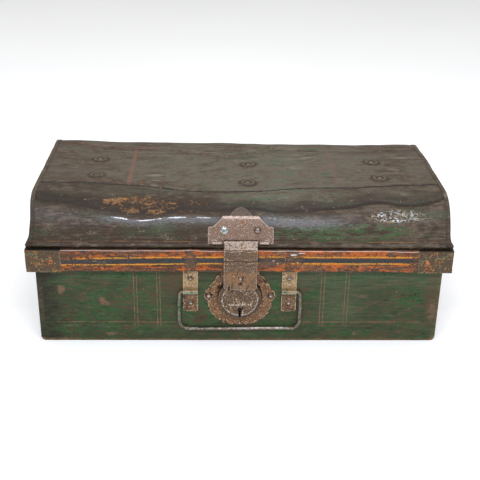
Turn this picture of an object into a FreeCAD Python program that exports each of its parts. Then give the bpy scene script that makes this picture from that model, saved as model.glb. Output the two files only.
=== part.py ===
"""Sheet steel trunk: a box, a shouldered lid on two back hinges, a hasp, a lock and a wire handle.

Millimetres, +X along the length, the front faces -Y, +Z up.
The origin is the centre of the flat underside, on the surface that the trunk stands on.
"""
import FreeCAD, Part
import math
import os

from FreeCAD import Vector

# Sheet and working clearances
sheet = 1.0
over = 5.0                      # how far a cut runs past what it cuts
fit_gap = 0.05                  # between sheets folded together, and round a shank
pin_gap = 0.06                  # radial, round a pin that turns
lid_seat_gap = 0.3              # between the closed lid's ledge and the rolled rim
running_gap = 0.3               # between faces that pass each other

# Box
body_length = 602.0
body_depth = 312.0
rim_height = 155.7              # top of the rolled rim
foot_radius = 8.0               # bend from end wall to floor
pan_edge = 8.0                  # folded edge of the front and back pans
rim_wire_radius = 1.5
rim_corner_radius = 9.0
lap_width = 10.0                # floor sheet over the end wall's tail
tail_length = 18.0
joggle_length = 2.0

# Lid
lid_overhang = 4.0              # lid's walls outside the box's walls
lid_wall_height = 15.0          # from the ledge up to the start of the shoulder
shoulder_radius = 56.0
cap_sheet = 0.8
cap_fold = 5.0                  # end cap folded over the lid sheet
bead_radius = 2.5
bead_rise = 6.5                 # bead centre above the ledge
rib_radius = 3.0
rib_proud = 1.0
front_rib_inset = 66.0          # from the lid's front wall
back_rib_inset = 90.0           # from the lid's back wall

# Pressed bosses on the lid's top
boss_radius = 13.0
boss_height = 1.3
boss_crest_radius = 8.5
boss_dimple_radius = 4.0
boss_dimple_height = 0.3
boss_end_inset = 88.0           # from the lid's ends
front_boss_inset = 105.0        # from the lid's front wall
back_boss_inset = 142.0         # from the lid's back wall

# Skirt band and its corner clips
band_proud = 6.0                # skirt's outer face beyond the lid's walls
skirt_height = 33.8
ledge_tuck = 2.0                # ledge inside the lid wall's outer face
clip_sheet = 1.0
clip_arm = 51.0
clip_lip = 5.5
clip_foot_drop = 1.0            # clip's lower edge below the skirt's foot
clip_rivet_inset = 37.0
clip_rivet_rise = 15.8

# Hasp
hasp_sheet = 1.4
hasp_half_width = 47.5
hasp_foot_rise = 9.3            # plate's lower edge above the ledge
ear_height = 25.5
ear_half_width = 41.0
neck_half_width = 26.0
neck_height = 39.1
crest_half_width = 16.0
crest_height = 49.2
hasp_corner_radius = 3.0
hasp_pin_radius = 1.5
hasp_pin_rise = 12.0            # pin above the ledge
hasp_pin_half_length = 41.0
bridge_length = 13.0
bridge_wall = 1.1
strap_sheet = 1.5
strap_half_width = 24.3
strap_stand = 2.5               # strap's back in front of the skirt
strap_slope = 8.5               # height over which the strap leans out below its pin
strap_end_rise = 18.0           # strap's lower end above the lock's centre
strap_corner_radius = 5.0
strap_hole_radius = 1.8
strap_hole_rise = 26.2
hasp_fastener_rise = 29.5       # screw and rivet above the ledge
hasp_fastener_offset = 24.0

# Staple on the strap's back
staple_half_width = 1.8
staple_reach = 5.4
staple_foot_rise = 19.3         # from the lock's centre
staple_height = 19.7
staple_skirt_gap = 7.2          # staple's top below the skirt's foot
eye_rise = 24.0                 # bolt's line above the lock's centre
eye_height = 4.9
eye_depth = 2.0
staple_shank_radius = 1.6
staple_shank_rise = 36.0

# Lock
lock_plate_sheet = 1.2
lock_half_width = 54.5
lock_plate_drop = 50.5          # plate's lower edge below the centre
lock_plate_rise = 47.0
case_radius = 33.0
case_sheet = 1.0
case_edge_radius = 5.5
case_ring_inset = 7.0
case_ring_proud = 0.8
slot_gap = 0.8
keyhole_radius = 2.9
keyhole_slot = 2.4
keyhole_drop = 17.3
keyhole_length = 12.0
key_post_radius = 1.0
key_post_foot_radius = 4.0
key_post_foot = 0.8
button_radius = 3.2
button_wire = 0.8
button_rise = 7.3
ridge_half_length = 15.0
ridge_radius = 0.9
ridge_drop = 8.5
lock_rivet_offset = 46.5
lock_rivet_rise = 1.7
lock_low_rivet_drop = 45.0

# Lock works
bolt_travel = 6.0
bolt_sheet = 1.2
bolt_nose_height = 3.7
bolt_nose_root = 13.0
bolt_nose_gap = 1.2             # withdrawn nose short of the staple
bolt_left = 22.5
bolt_right = 9.5
bolt_top = 18.0
bolt_bottom = 11.0
bolt_neck_left = 18.0
bolt_neck_right = 10.0
guide_radius = 1.5
guide_offset = 12.5
guide_rise = 10.0
guide_drop = 4.0
guide_end_gap = 0.2
spring_sheet = 0.5
spring_width = 1.8
spring_sag = 4.1
spring_post_offset = 19.0
spring_post_drop = 17.5
spring_end_offset = 5.0

# Handle
bail_radius = 2.5
bail_half_width = 90.0          # to the wire's centre line
bail_pivot_rise = 9.0           # above the lock's centre
bail_drop = 63.3
bail_corner_radius = 14.0
bail_shoulder_radius = 5.0
bail_end_offset = 64.0
loop_sheet = 1.5
loop_offset = 73.5
loop_half_width = 11.0
loop_top_rise = 42.0            # upper tab above the pivot
loop_foot_drop = 34.0
loop_rivet_rise = 21.5
loop_rivet_drop = 20.0
loop_corner_radius = 3.0
bail_wall_gap = 0.7

# Hinges
hinge_end_inset = 115.0         # from the lid's ends
hinge_half_width = 25.0
hinge_sheet = 1.5
hinge_pin_radius = 1.8
hinge_pin_head_radius = 2.8
hinge_pin_head = 1.2
hinge_drop = 7.2                # axis below the skirt's lower edge
hinge_tongue_half_width = 8.5
lid_leaf_gap = 4.5              # lid leaf's lower edge above the axis
lid_leaf_height = 30.0
body_leaf_foot_drop = 55.0
body_leaf_bend_drop = 17.0
hinge_corner_radius = 3.0
hinge_rivet_inset = 9.0
lid_leaf_rivet_rise = 20.0
body_leaf_rivet_drop = 38.0

# Fasteners: head radius, head height, shank radius, tail radius, tail height
small_head_radius = 3.6
small_head = 1.6
small_shank_radius = 1.6
small_tail_radius = 3.0
small_tail = 0.9
large_head_radius = 5.2
large_head = 2.6
large_shank_radius = 2.2
large_tail_radius = 4.2
large_tail = 1.1
stud_head_radius = 2.6
stud_head = 1.3
screw_head_radius = 6.0
screw_head = 2.4
screw_shank_radius = 2.9
screw_length = 9.0
recess_width = 1.4
recess_length = 6.0
recess_depth = 1.3
recess_turn = 30.0              # degrees
nut_radius = 5.6
nut_sides = 6
nut_height = 4.0
curve_seat_gap = 0.35           # under a flat tail or nut on the lid's hollow side

# Places that follow from the sizes above
half_length = body_length / 2
half_depth = body_depth / 2
rim_inner = rim_wire_radius + fit_gap
rim_outer = rim_inner + sheet
rim_centre = rim_height - rim_outer
rim_line_x = half_length + rim_inner
rim_line_y = half_depth + rim_inner
lid_half_length = half_length + lid_overhang
lid_half_depth = half_depth + lid_overhang
boss_spacing = lid_half_length - boss_end_inset
hinge_offset = lid_half_length - hinge_end_inset
ledge_under = rim_height + lid_seat_gap
ledge_top = ledge_under + sheet
wall_top = ledge_top + lid_wall_height
lid_top = wall_top + shoulder_radius
skirt_foot = ledge_top - skirt_height
band_half_length = lid_half_length + band_proud
band_half_depth = lid_half_depth + band_proud
bead_height = ledge_top + bead_rise
hasp_pin_height = ledge_top + hasp_pin_rise
strap_inner = hasp_pin_radius + pin_gap
strap_outer = strap_inner + strap_sheet
hasp_pin_y = -lid_half_depth - strap_outer - running_gap
strap_back = -band_half_depth - strap_stand
strap_front = strap_back - strap_sheet
lock_height = skirt_foot - staple_skirt_gap - staple_height - staple_foot_rise
strap_end = lock_height + strap_end_rise
lock_plate_front = -half_depth - lock_plate_sheet
case_face = strap_back + running_gap + case_ring_proud
case_inner_face = case_face + case_sheet
eye_y = strap_back + staple_reach - eye_depth
bail_pivot_height = lock_height + bail_pivot_rise
bail_y = -half_depth - bail_radius - bail_wall_gap
hinge_outer = hinge_pin_radius + pin_gap + hinge_sheet
hinge_y = band_half_depth + hinge_outer
hinge_z = skirt_foot - hinge_drop


def box(x0, x1, y0, y1, z0, z1):
    """A block between two corners."""
    return Part.makeBox(x1 - x0, y1 - y0, z1 - z0, Vector(x0, y0, z0))


def rod_x(radius, y, z, x0, x1):
    """A round bar along X."""
    return Part.makeCylinder(radius, x1 - x0, Vector(x0, y, z), Vector(1, 0, 0))


def rod_y(radius, x, z, y0, y1):
    """A round bar along Y."""
    return Part.makeCylinder(radius, y1 - y0, Vector(x, y0, z), Vector(0, 1, 0))


def strip_x(points, x0, x1):
    """An outline of (y, z) points drawn out along X."""
    corners = [Vector(x0, y, z) for y, z in points]
    face = Part.Face(Part.makePolygon(corners + corners[:1]))
    return face.extrude(Vector(x1 - x0, 0, 0))


def strip_y(points, y0, y1):
    """An outline of (x, z) points drawn out along Y."""
    corners = [Vector(x, y0, z) for x, z in points]
    face = Part.Face(Part.makePolygon(corners + corners[:1]))
    return face.extrude(Vector(0, y1 - y0, 0))


def mirrored_x(shape):
    """The same piece on the other end."""
    return shape.mirror(Vector(0, 0, 0), Vector(1, 0, 0))


def mirrored_y(shape):
    """The same piece on the other side."""
    return shape.mirror(Vector(0, 0, 0), Vector(0, 1, 0))


def joined(shapes):
    """One solid from pieces that meet."""
    return shapes[0].fuse(shapes[1:]).removeSplitter()


def group(shapes):
    """Separate solids kept in one node."""
    return Part.makeCompound(shapes)


def save(name, shape):
    """Write one node."""
    shape.exportStep("parts/" + name + ".step")


def rounded_plate(x0, x1, z0, z1, radius, y0, y1):
    """A plate in the XZ plane with round corners."""
    plate = box(x0, x1, y0, y1, z0, z1)
    uprights = []
    for edge in plate.Edges:
        if abs(edge.tangentAt(edge.FirstParameter).y) > 1 - 1e-6:
            uprights.append(edge)
    return plate.makeFillet(radius, uprights)


def fastener(head_radius, head, shank_radius, grip, tail_radius, tail):
    """A domed rivet along +Z, its head seated at z = 0."""
    dome_top = Vector(0, 0, head)
    lean = head * math.sqrt(0.5)
    dome_middle = Vector(head_radius * math.sqrt(0.5), 0, lean)
    rim = Vector(head_radius, 0, 0)
    corners = [
        rim,
        Vector(shank_radius, 0, 0),
        Vector(shank_radius, 0, -grip),
        Vector(tail_radius, 0, -grip),
        Vector(tail_radius, 0, -grip - tail),
        Vector(0, 0, -grip - tail),
        dome_top,
    ]
    dome = Part.Arc(dome_top, dome_middle, rim).toShape()
    outline = Part.Wire([dome] + Part.makePolygon(corners).Edges)
    return Part.Face(outline).revolve(Vector(0, 0, 0), Vector(0, 0, 1), 360)


def placed(shape, out, seat):
    """Turn a +Z piece so that it points outwards, and put it on its seat."""
    turned = shape.copy()
    upright = Vector(0, 0, 1)
    angle = math.degrees(upright.getAngle(out))
    axis = upright.cross(out)
    if axis.Length < 1e-9:
        axis = Vector(1, 0, 0)
    turned.rotate(Vector(0, 0, 0), axis, angle)
    turned.translate(seat)
    return turned


def small_rivet(grip):
    """The rivet used on the clips, the handle and the hinges."""
    return fastener(small_head_radius, small_head, small_shank_radius, grip, small_tail_radius, small_tail)


def large_rivet(grip):
    """The rivet used on the hasp and the lock."""
    return fastener(large_head_radius, large_head, large_shank_radius, grip, large_tail_radius, large_tail)


# Lid outline

def lid_block(grow, x0, x1, foot):
    """The lid's solid outline, moved outwards by grow, from foot up."""
    wall = lid_half_depth + grow
    radius = shoulder_radius + grow
    turn = lid_half_depth - shoulder_radius
    top = wall_top + radius
    lean = radius * math.sqrt(0.5)
    front = Vector(x0, -wall, wall_top)
    front_top = Vector(x0, -turn, top)
    back_top = Vector(x0, turn, top)
    back = Vector(x0, wall, wall_top)
    edges = [
        Part.makeLine(Vector(x0, -wall, foot), front),
        Part.Arc(front, Vector(x0, -turn - lean, wall_top + lean), front_top).toShape(),
        Part.makeLine(front_top, back_top),
        Part.Arc(back_top, Vector(x0, turn + lean, wall_top + lean), back).toShape(),
        Part.makeLine(back, Vector(x0, wall, foot)),
        Part.makeLine(Vector(x0, wall, foot), Vector(x0, -wall, foot)),
    ]
    return Part.Face(Part.Wire(edges)).extrude(Vector(x1 - x0, 0, 0))


def on_front_shoulder(x, height, grow):
    """A point on the lid's front at a height, and the way out of the surface there."""
    rise = max(0.0, height - wall_top)
    lean = math.asin(rise / shoulder_radius)
    out = Vector(0, -math.cos(lean), math.sin(lean))
    y = -lid_half_depth + shoulder_radius * (1 - math.cos(lean))
    return Vector(x, y, height) + out * grow, out


# Box

def rim_roll_x(y_line, outward, x0, x1):
    """The rolled rim of a long wall, open towards the wall below."""
    tube = rod_x(rim_outer, y_line, rim_centre, x0, x1)
    tube = tube.cut(rod_x(rim_inner, y_line, rim_centre, x0 - over, x1 + over))
    inner_side = y_line - outward * (rim_outer + over)
    low, high = sorted((y_line, inner_side))
    slit = box(x0 - over, x1 + over, low, high, rim_centre - rim_outer - over, rim_centre)
    return tube.cut(slit)


def rim_roll_y(x_line, outward, y0, y1):
    """The rolled rim of an end wall."""
    tube = rod_y(rim_outer, x_line, rim_centre, y0, y1)
    tube = tube.cut(rod_y(rim_inner, x_line, rim_centre, y0 - over, y1 + over))
    inner_side = x_line - outward * (rim_outer + over)
    low, high = sorted((x_line, inner_side))
    slit = box(low, high, y0 - over, y1 + over, rim_centre - rim_outer - over, rim_centre)
    return tube.cut(slit)


def without_rim_corners(wall):
    """Notch a wall's top corners, where the wire turns."""
    inside_x = rim_line_x - rim_corner_radius - running_gap
    inside_y = rim_line_y - rim_corner_radius - running_gap
    foot = rim_centre - rim_outer - running_gap
    for side in (-1, 1):
        for end in (-1, 1):
            x0, x1 = sorted((end * inside_x, end * (half_length + over)))
            y0, y1 = sorted((side * inside_y, side * (half_depth + over)))
            wall = wall.cut(box(x0, x1, y0, y1, foot, rim_height + over))
    return wall


def pan_block(inset, y0, y1):
    """A pan's outline, drawn in by inset, with round lower corners."""
    edge = half_length - sheet - fit_gap - inset
    foot = sheet + fit_gap + inset
    radius = foot_radius - sheet - fit_gap - inset
    block = box(-edge, edge, y0, y1, foot, rim_centre)
    lower = []
    for line in block.Edges:
        runs_in = abs(line.tangentAt(line.FirstParameter).y) > 1 - 1e-6
        if runs_in and line.CenterOfMass.z < rim_centre / 2:
            lower.append(line)
    return block.makeFillet(radius, lower)


def body_pan():
    """The front wall: a plate with a folded edge and a rolled rim."""
    pan = pan_block(0, -half_depth, -half_depth + pan_edge)
    pan = pan.cut(pan_block(sheet, -half_depth + sheet, -half_depth + pan_edge + over))
    edge = half_length - sheet - fit_gap - sheet
    top_cut = box(-edge, edge, -half_depth + sheet, -half_depth + pan_edge + over,
                  rim_centre - over, rim_centre + over)
    pan = pan.cut(top_cut)
    reach = rim_line_x - rim_corner_radius
    roll = rim_roll_x(-rim_line_y, -1, -reach, reach)
    return joined([without_rim_corners(pan), roll])


def body_end():
    """The left end wall, bent under at the foot."""
    bend = half_length - foot_radius
    inner = foot_radius - sheet
    lean = math.sqrt(0.5)
    tail = bend + foot_radius - tail_length
    face_y = -half_depth
    edges = [
        Part.makeLine(Vector(-half_length, face_y, rim_centre), Vector(-half_length, face_y, foot_radius)),
        Part.Arc(Vector(-half_length, face_y, foot_radius),
                 Vector(-bend - foot_radius * lean, face_y, foot_radius - foot_radius * lean),
                 Vector(-bend, face_y, 0)).toShape(),
        Part.makeLine(Vector(-bend, face_y, 0), Vector(-tail, face_y, 0)),
        Part.makeLine(Vector(-tail, face_y, 0), Vector(-tail, face_y, sheet)),
        Part.makeLine(Vector(-tail, face_y, sheet), Vector(-bend, face_y, sheet)),
        Part.Arc(Vector(-bend, face_y, sheet),
                 Vector(-bend - inner * lean, face_y, foot_radius - inner * lean),
                 Vector(-half_length + sheet, face_y, foot_radius)).toShape(),
        Part.makeLine(Vector(-half_length + sheet, face_y, foot_radius),
                      Vector(-half_length + sheet, face_y, rim_centre)),
        Part.makeLine(Vector(-half_length + sheet, face_y, rim_centre),
                      Vector(-half_length, face_y, rim_centre)),
    ]
    wall = Part.Face(Part.Wire(edges)).extrude(Vector(0, body_depth, 0))
    reach = rim_line_y - rim_corner_radius
    roll = rim_roll_y(-rim_line_x, -1, -reach, reach)
    return joined([without_rim_corners(wall), roll])


def body_bottom():
    """The floor sheet, lapped over the end walls' tails."""
    butt = half_length - tail_length - fit_gap
    floor = box(-butt, butt, -half_depth, half_depth, 0, sheet)
    lap_end = butt + lap_width
    lap_y = half_depth - pan_edge - running_gap
    step = [
        (butt - joggle_length, 0),
        (butt, 0),
        (butt, sheet),
        (lap_end, sheet),
        (lap_end, 2 * sheet),
        (butt - joggle_length, 2 * sheet),
    ]
    lap = strip_y(step, -lap_y, lap_y)
    return joined([floor, lap, mirrored_x(lap)])


def rim_wire():
    """One closed wire inside the rolled rims."""
    x, y, radius = rim_line_x, rim_line_y, rim_corner_radius
    z = rim_centre
    lean = radius * math.sqrt(0.5)
    edges = []
    quarter_turns = ((1, -1), (1, 1), (-1, 1), (-1, -1))
    starts = []
    ends = []
    for side_x, side_y in quarter_turns:
        centre = Vector(side_x * (x - radius), side_y * (y - radius), z)
        on_long = centre + Vector(0, side_y * radius, 0)
        on_end = centre + Vector(side_x * radius, 0, 0)
        middle = centre + Vector(side_x * lean, side_y * lean, 0)
        first, last = (on_long, on_end) if side_x * side_y < 0 else (on_end, on_long)
        starts.append(first)
        ends.append(last)
        edges.append(Part.Arc(first, middle, last).toShape())
    path = []
    for index, arc in enumerate(edges):
        path.append(arc)
        path.append(Part.makeLine(ends[index], starts[(index + 1) % len(starts)]))
    spine = Part.Wire(path)
    first = starts[0]
    circle = Part.Wire(Part.makeCircle(rim_wire_radius, first, Vector(1, 0, 0)))
    return spine.makePipeShell([circle], True, False)


# Lid

def lid_sheet():
    """Front wall, shoulders, top and back wall in one bent sheet, with beads, ribs and bosses."""
    end = lid_half_length - sheet - fit_gap
    shell = lid_block(0, -end, end, ledge_top)
    hollow = lid_block(-sheet, -end - over, end + over, ledge_top - over)
    extras = []
    bead_end = lid_half_length - sheet - cap_fold - running_gap
    for y in (-lid_half_depth, lid_half_depth):
        extras.append(rod_x(bead_radius, y, bead_height, -bead_end, bead_end))
    rib_centre = lid_top + rib_proud - rib_radius
    rib_end = bead_end
    for y in (-lid_half_depth + front_rib_inset, lid_half_depth - back_rib_inset):
        extras.append(rod_x(rib_radius, y, rib_centre, -rib_end, rib_end))
    for y in (-lid_half_depth + front_boss_inset, lid_half_depth - back_boss_inset):
        for column in (-1, 0, 1):
            boss = lid_boss()
            boss.translate(Vector(column * boss_spacing, y, lid_top))
            extras.append(boss)
    return joined([shell] + extras).cut(hollow)


def lid_boss():
    """A pressed ring with a dimple in its middle, standing on z = 0."""
    root = -sheet / 2
    corners = [
        Vector(0, 0, root),
        Vector(boss_radius, 0, root),
        Vector(boss_radius, 0, 0),
        Vector(boss_crest_radius, 0, boss_height),
        Vector(boss_dimple_radius, 0, boss_dimple_height),
        Vector(0, 0, boss_dimple_height),
        Vector(0, 0, root),
    ]
    return Part.Face(Part.makePolygon(corners)).revolve(Vector(0, 0, 0), Vector(0, 0, 1), 360)


def lid_end():
    """The left end cap: a flat plate folded over the lid sheet, with the bead carried round."""
    inner = -lid_half_length + sheet
    plate = lid_block(fit_gap + cap_sheet, -lid_half_length, inner + cap_fold, ledge_top)
    hollow = lid_block(fit_gap, inner, inner + cap_fold + over, ledge_top - over)
    wall = lid_half_depth + fit_gap + cap_sheet
    pieces = [plate]
    pieces.append(rod_y(bead_radius, -lid_half_length, bead_height, -wall, wall))
    for y in (-wall, wall):
        pieces.append(rod_x(bead_radius, y, bead_height, -lid_half_length, inner + cap_fold))
        pieces.append(Part.makeSphere(bead_radius, Vector(-lid_half_length, y, bead_height)))
    return joined(pieces).cut(hollow)


# Skirt band

def band_long():
    """The front skirt: an upright leg and the ledge over the rim."""
    y = -band_half_depth
    leg = box(-band_half_length, band_half_length, y, y + sheet, skirt_foot, ledge_top)
    ledge = box(-band_half_length, band_half_length, y, -lid_half_depth + ledge_tuck,
                ledge_under, ledge_top)
    return joined([leg, ledge])


def band_short():
    """The left skirt, between the long ones."""
    x = -band_half_length
    y = band_half_depth - sheet - fit_gap
    leg = box(x, x + sheet, -y, y, skirt_foot, ledge_under - fit_gap)
    ledge_y = lid_half_depth - ledge_tuck - fit_gap
    leg = leg.fuse(box(x, x + sheet, -ledge_y, ledge_y, skirt_foot, ledge_top))
    ledge = box(x, -lid_half_length + ledge_tuck, -ledge_y, ledge_y, ledge_under, ledge_top)
    return joined([leg, ledge])


def clip_rivet_places():
    """Seat and direction of the two rivets of the front left clip."""
    height = skirt_foot + clip_rivet_rise
    front_face = -band_half_depth - clip_sheet
    end_face = -band_half_length - clip_sheet
    return [
        (Vector(end_face + clip_rivet_inset, front_face, height), Vector(0, -1, 0)),
        (Vector(end_face, front_face + clip_rivet_inset, height), Vector(-1, 0, 0)),
    ]


def band_corner():
    """The front left clip, folded round the skirt's corner and over its ledge."""
    x = -band_half_length
    y = -band_half_depth
    outer_x = x - clip_sheet
    outer_y = y - clip_sheet
    top = ledge_top + clip_sheet
    foot = skirt_foot - clip_foot_drop
    clip = box(outer_x, outer_x + clip_arm, outer_y, outer_y + clip_arm, foot, top)
    hollow = box(x, outer_x + clip_arm + over, y, outer_y + clip_arm + over, foot - over, ledge_top)
    lip = box(outer_x + clip_lip, outer_x + clip_arm + over, outer_y + clip_lip,
              outer_y + clip_arm + over, ledge_top - over, top + over)
    clip = clip.cut(hollow).cut(lip)
    for seat, out in clip_rivet_places():
        clip = clip.cut(drill(seat, out, small_shank_radius + fit_gap, clip_sheet + sheet))
    return clip


def drill(seat, out, radius, depth):
    """A round cut through what lies under a seat."""
    bore = Part.makeCylinder(radius, depth + 2 * over, Vector(0, 0, -depth - over))
    return placed(bore, out, seat)


def band_rivets():
    """Two rivets in each of the four clips."""
    grip = clip_sheet + sheet
    rivets = []
    for seat, out in clip_rivet_places():
        one = placed(small_rivet(grip), out, seat)
        rivets += [one, mirrored_x(one), mirrored_y(one), mirrored_x(mirrored_y(one))]
    return group(rivets)


def drilled_for_clips(skirt):
    """Rivet holes through a skirt, under all four clips."""
    for seat, out in clip_rivet_places():
        bore = drill(seat, out, small_shank_radius + fit_gap, clip_sheet + sheet)
        for hole in (bore, mirrored_x(bore), mirrored_y(bore), mirrored_x(mirrored_y(bore))):
            skirt = skirt.cut(hole)
    return skirt


# Hasp

def hasp_fastener_place(side):
    """Seat and direction of the screw or the rivet on the hasp plate."""
    height = ledge_top + hasp_fastener_rise
    return on_front_shoulder(side * hasp_fastener_offset, height, fit_gap + hasp_sheet)


def hasp_outline():
    """The plate's outline seen from the front: ears, neck and an arched crest."""
    ear_sag_share = 0.43
    crest_across_share = 0.65
    crest_up_share = 0.62
    foot = ledge_top + hasp_foot_rise
    ear = foot + ear_height
    neck = foot + neck_height
    crest = foot + crest_height
    y = -lid_half_depth - over
    radius = hasp_corner_radius
    lean = radius * (1 - math.sqrt(0.5))
    halves = []
    for side in (1, -1):
        outer = side * hasp_half_width
        points = [
            Vector(0, y, foot),
            Vector(outer, y, foot),
            Vector(outer, y, ear - radius),
        ]
        corner_end = Vector(outer - side * radius, y, ear)
        corner = Part.Arc(points[-1], Vector(outer - side * lean, y, ear - lean), corner_end)
        ear_end = Vector(side * ear_half_width, y, ear)
        neck_start = Vector(side * neck_half_width, y, neck)
        sag = Vector(side * (ear_half_width + neck_half_width) / 2, y, ear + (neck - ear) * ear_sag_share)
        crest_foot = Vector(side * crest_half_width, y, neck)
        crest_top = Vector(0, y, crest)
        bulge = Vector(side * crest_half_width * crest_across_share, y,
                       neck + (crest - neck) * crest_up_share)
        edges = Part.makePolygon(points).Edges
        edges.append(corner.toShape())
        edges.append(Part.makeLine(corner_end, ear_end))
        edges.append(Part.Arc(ear_end, sag, neck_start).toShape())
        edges.append(Part.makeLine(neck_start, crest_foot))
        edges.append(Part.Arc(crest_foot, bulge, crest_top).toShape())
        halves.append(edges)
    return Part.Face(Part.Wire(Part.__sortEdges__(halves[0] + halves[1])))


def hasp_plate():
    """The hasp's plate, formed to the lid's shoulder, with two bridges over the pin."""
    reach = hasp_half_width + over
    skin = lid_block(fit_gap + hasp_sheet, -reach, reach, ledge_top)
    skin = skin.cut(lid_block(fit_gap, -reach - over, reach + over, ledge_top - over))
    plate = skin.common(hasp_outline().extrude(Vector(0, shoulder_radius + over, 0)))
    notch = strap_half_width + running_gap
    notch_top = hasp_pin_height + strap_outer + running_gap
    foot = ledge_top + hasp_foot_rise
    plate = plate.cut(box(-notch, notch, -lid_half_depth - hasp_sheet - over, -lid_half_depth + over,
                          foot - over, notch_top))
    plate_face = -lid_half_depth - fit_gap - hasp_sheet
    outer = hasp_pin_radius + pin_gap + bridge_wall
    start = hasp_pin_half_length - bridge_length
    bridge = joined([
        rod_x(outer, hasp_pin_y, hasp_pin_height, start, start + bridge_length),
        box(start, start + bridge_length, hasp_pin_y, plate_face + fit_gap,
            hasp_pin_height - outer, hasp_pin_height + outer),
    ])
    plate = joined([plate, bridge, mirrored_x(bridge)])
    plate = plate.cut(rod_x(hasp_pin_radius + pin_gap, hasp_pin_y, hasp_pin_height,
                            -reach, reach))
    for side, radius in ((-1, screw_shank_radius), (1, large_shank_radius)):
        seat, out = hasp_fastener_place(side)
        plate = plate.cut(drill(seat, out, radius + fit_gap, hasp_sheet + sheet))
    return plate


def hasp_screw():
    """A pan head screw with a cross recess."""
    screw = fastener(screw_head_radius, screw_head, screw_shank_radius, screw_length,
                     screw_shank_radius, sheet)
    for length, width in ((recess_length, recess_width), (recess_width, recess_length)):
        bar = box(-length / 2, length / 2, -width / 2, width / 2,
                  screw_head - recess_depth, screw_head + over)
        screw = screw.cut(bar)
    screw.rotate(Vector(0, 0, 0), Vector(0, 0, 1), recess_turn)
    seat, out = hasp_fastener_place(-1)
    return placed(screw, out, seat)


def hasp_nut():
    """The hexagon nut inside the lid."""
    corners = []
    for index in range(nut_sides + 1):
        angle = 2 * math.pi * index / nut_sides
        corners.append(Vector(nut_radius * math.cos(angle), nut_radius * math.sin(angle), 0))
    nut = Part.Face(Part.makePolygon(corners)).extrude(Vector(0, 0, nut_height))
    nut = nut.cut(Part.makeCylinder(screw_shank_radius + fit_gap, nut_height + 2 * over, Vector(0, 0, -over)))
    depth = hasp_sheet + fit_gap + sheet + curve_seat_gap + nut_height
    nut.translate(Vector(0, 0, -depth))
    seat, out = hasp_fastener_place(-1)
    return placed(nut, out, seat)


def hasp_rivet():
    """The domed rivet on the plate's right."""
    grip = hasp_sheet + fit_gap + sheet + curve_seat_gap
    seat, out = hasp_fastener_place(1)
    return placed(large_rivet(grip), out, seat)


def hasp_pin():
    """The pin that the strap turns on."""
    return rod_x(hasp_pin_radius, hasp_pin_y, hasp_pin_height, -hasp_pin_half_length, hasp_pin_half_length)


def hasp_strap():
    """The strap: a knuckle round the pin, a lean outwards and a flat drop over the lock."""
    bend_height = hasp_pin_height - strap_slope
    outer_top = hasp_pin_y - strap_outer
    inner_top = hasp_pin_y - strap_inner
    section = [
        (outer_top, hasp_pin_height),
        (strap_front, bend_height),
        (strap_front, strap_end + strap_corner_radius),
        (strap_back, strap_end + strap_corner_radius),
        (strap_back, bend_height),
        (inner_top, hasp_pin_height - strap_sheet / 2),
        (inner_top, hasp_pin_height),
    ]
    leaf = strip_x(section, -strap_half_width, strap_half_width)
    toe = rounded_plate(-strap_half_width, strap_half_width, strap_end,
                        strap_end + 3 * strap_corner_radius, strap_corner_radius, strap_front, strap_back)
    toe = toe.common(box(-body_length, body_length, strap_front - over, strap_back + over,
                         strap_end - over, strap_end + 2 * strap_corner_radius))
    knuckle = rod_x(strap_outer, hasp_pin_y, hasp_pin_height, -strap_half_width, strap_half_width)
    strap = joined([leaf, toe, knuckle])
    reach = strap_half_width + over
    strap = strap.cut(rod_x(strap_inner, hasp_pin_y, hasp_pin_height, -reach, reach))
    strap = strap.cut(rod_y(strap_hole_radius, 0, lock_height + strap_hole_rise,
                            strap_front - over, strap_back + over))
    strap = strap.cut(rod_y(staple_shank_radius + fit_gap, 0, lock_height + staple_shank_rise,
                            strap_front - over, strap_back + over))
    return strap


def hasp_staple():
    """The staple on the strap's back, riveted through it, with an eye for the bolt."""
    foot = lock_height + staple_foot_rise
    tongue = box(-staple_half_width, staple_half_width, strap_back, strap_back + staple_reach,
                 foot, foot + staple_height)
    eye_z = lock_height + eye_rise
    eye = box(-staple_half_width - over, staple_half_width + over, eye_y - eye_depth / 2,
              eye_y + eye_depth / 2, eye_z - eye_height / 2, eye_z + eye_height / 2)
    shank = fastener(stud_head_radius, stud_head, staple_shank_radius, strap_sheet,
                     staple_shank_radius, sheet)
    seat = Vector(0, strap_front, lock_height + staple_shank_rise)
    return joined([tongue.cut(eye), placed(shank, Vector(0, -1, 0), seat)])


# Lock

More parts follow.
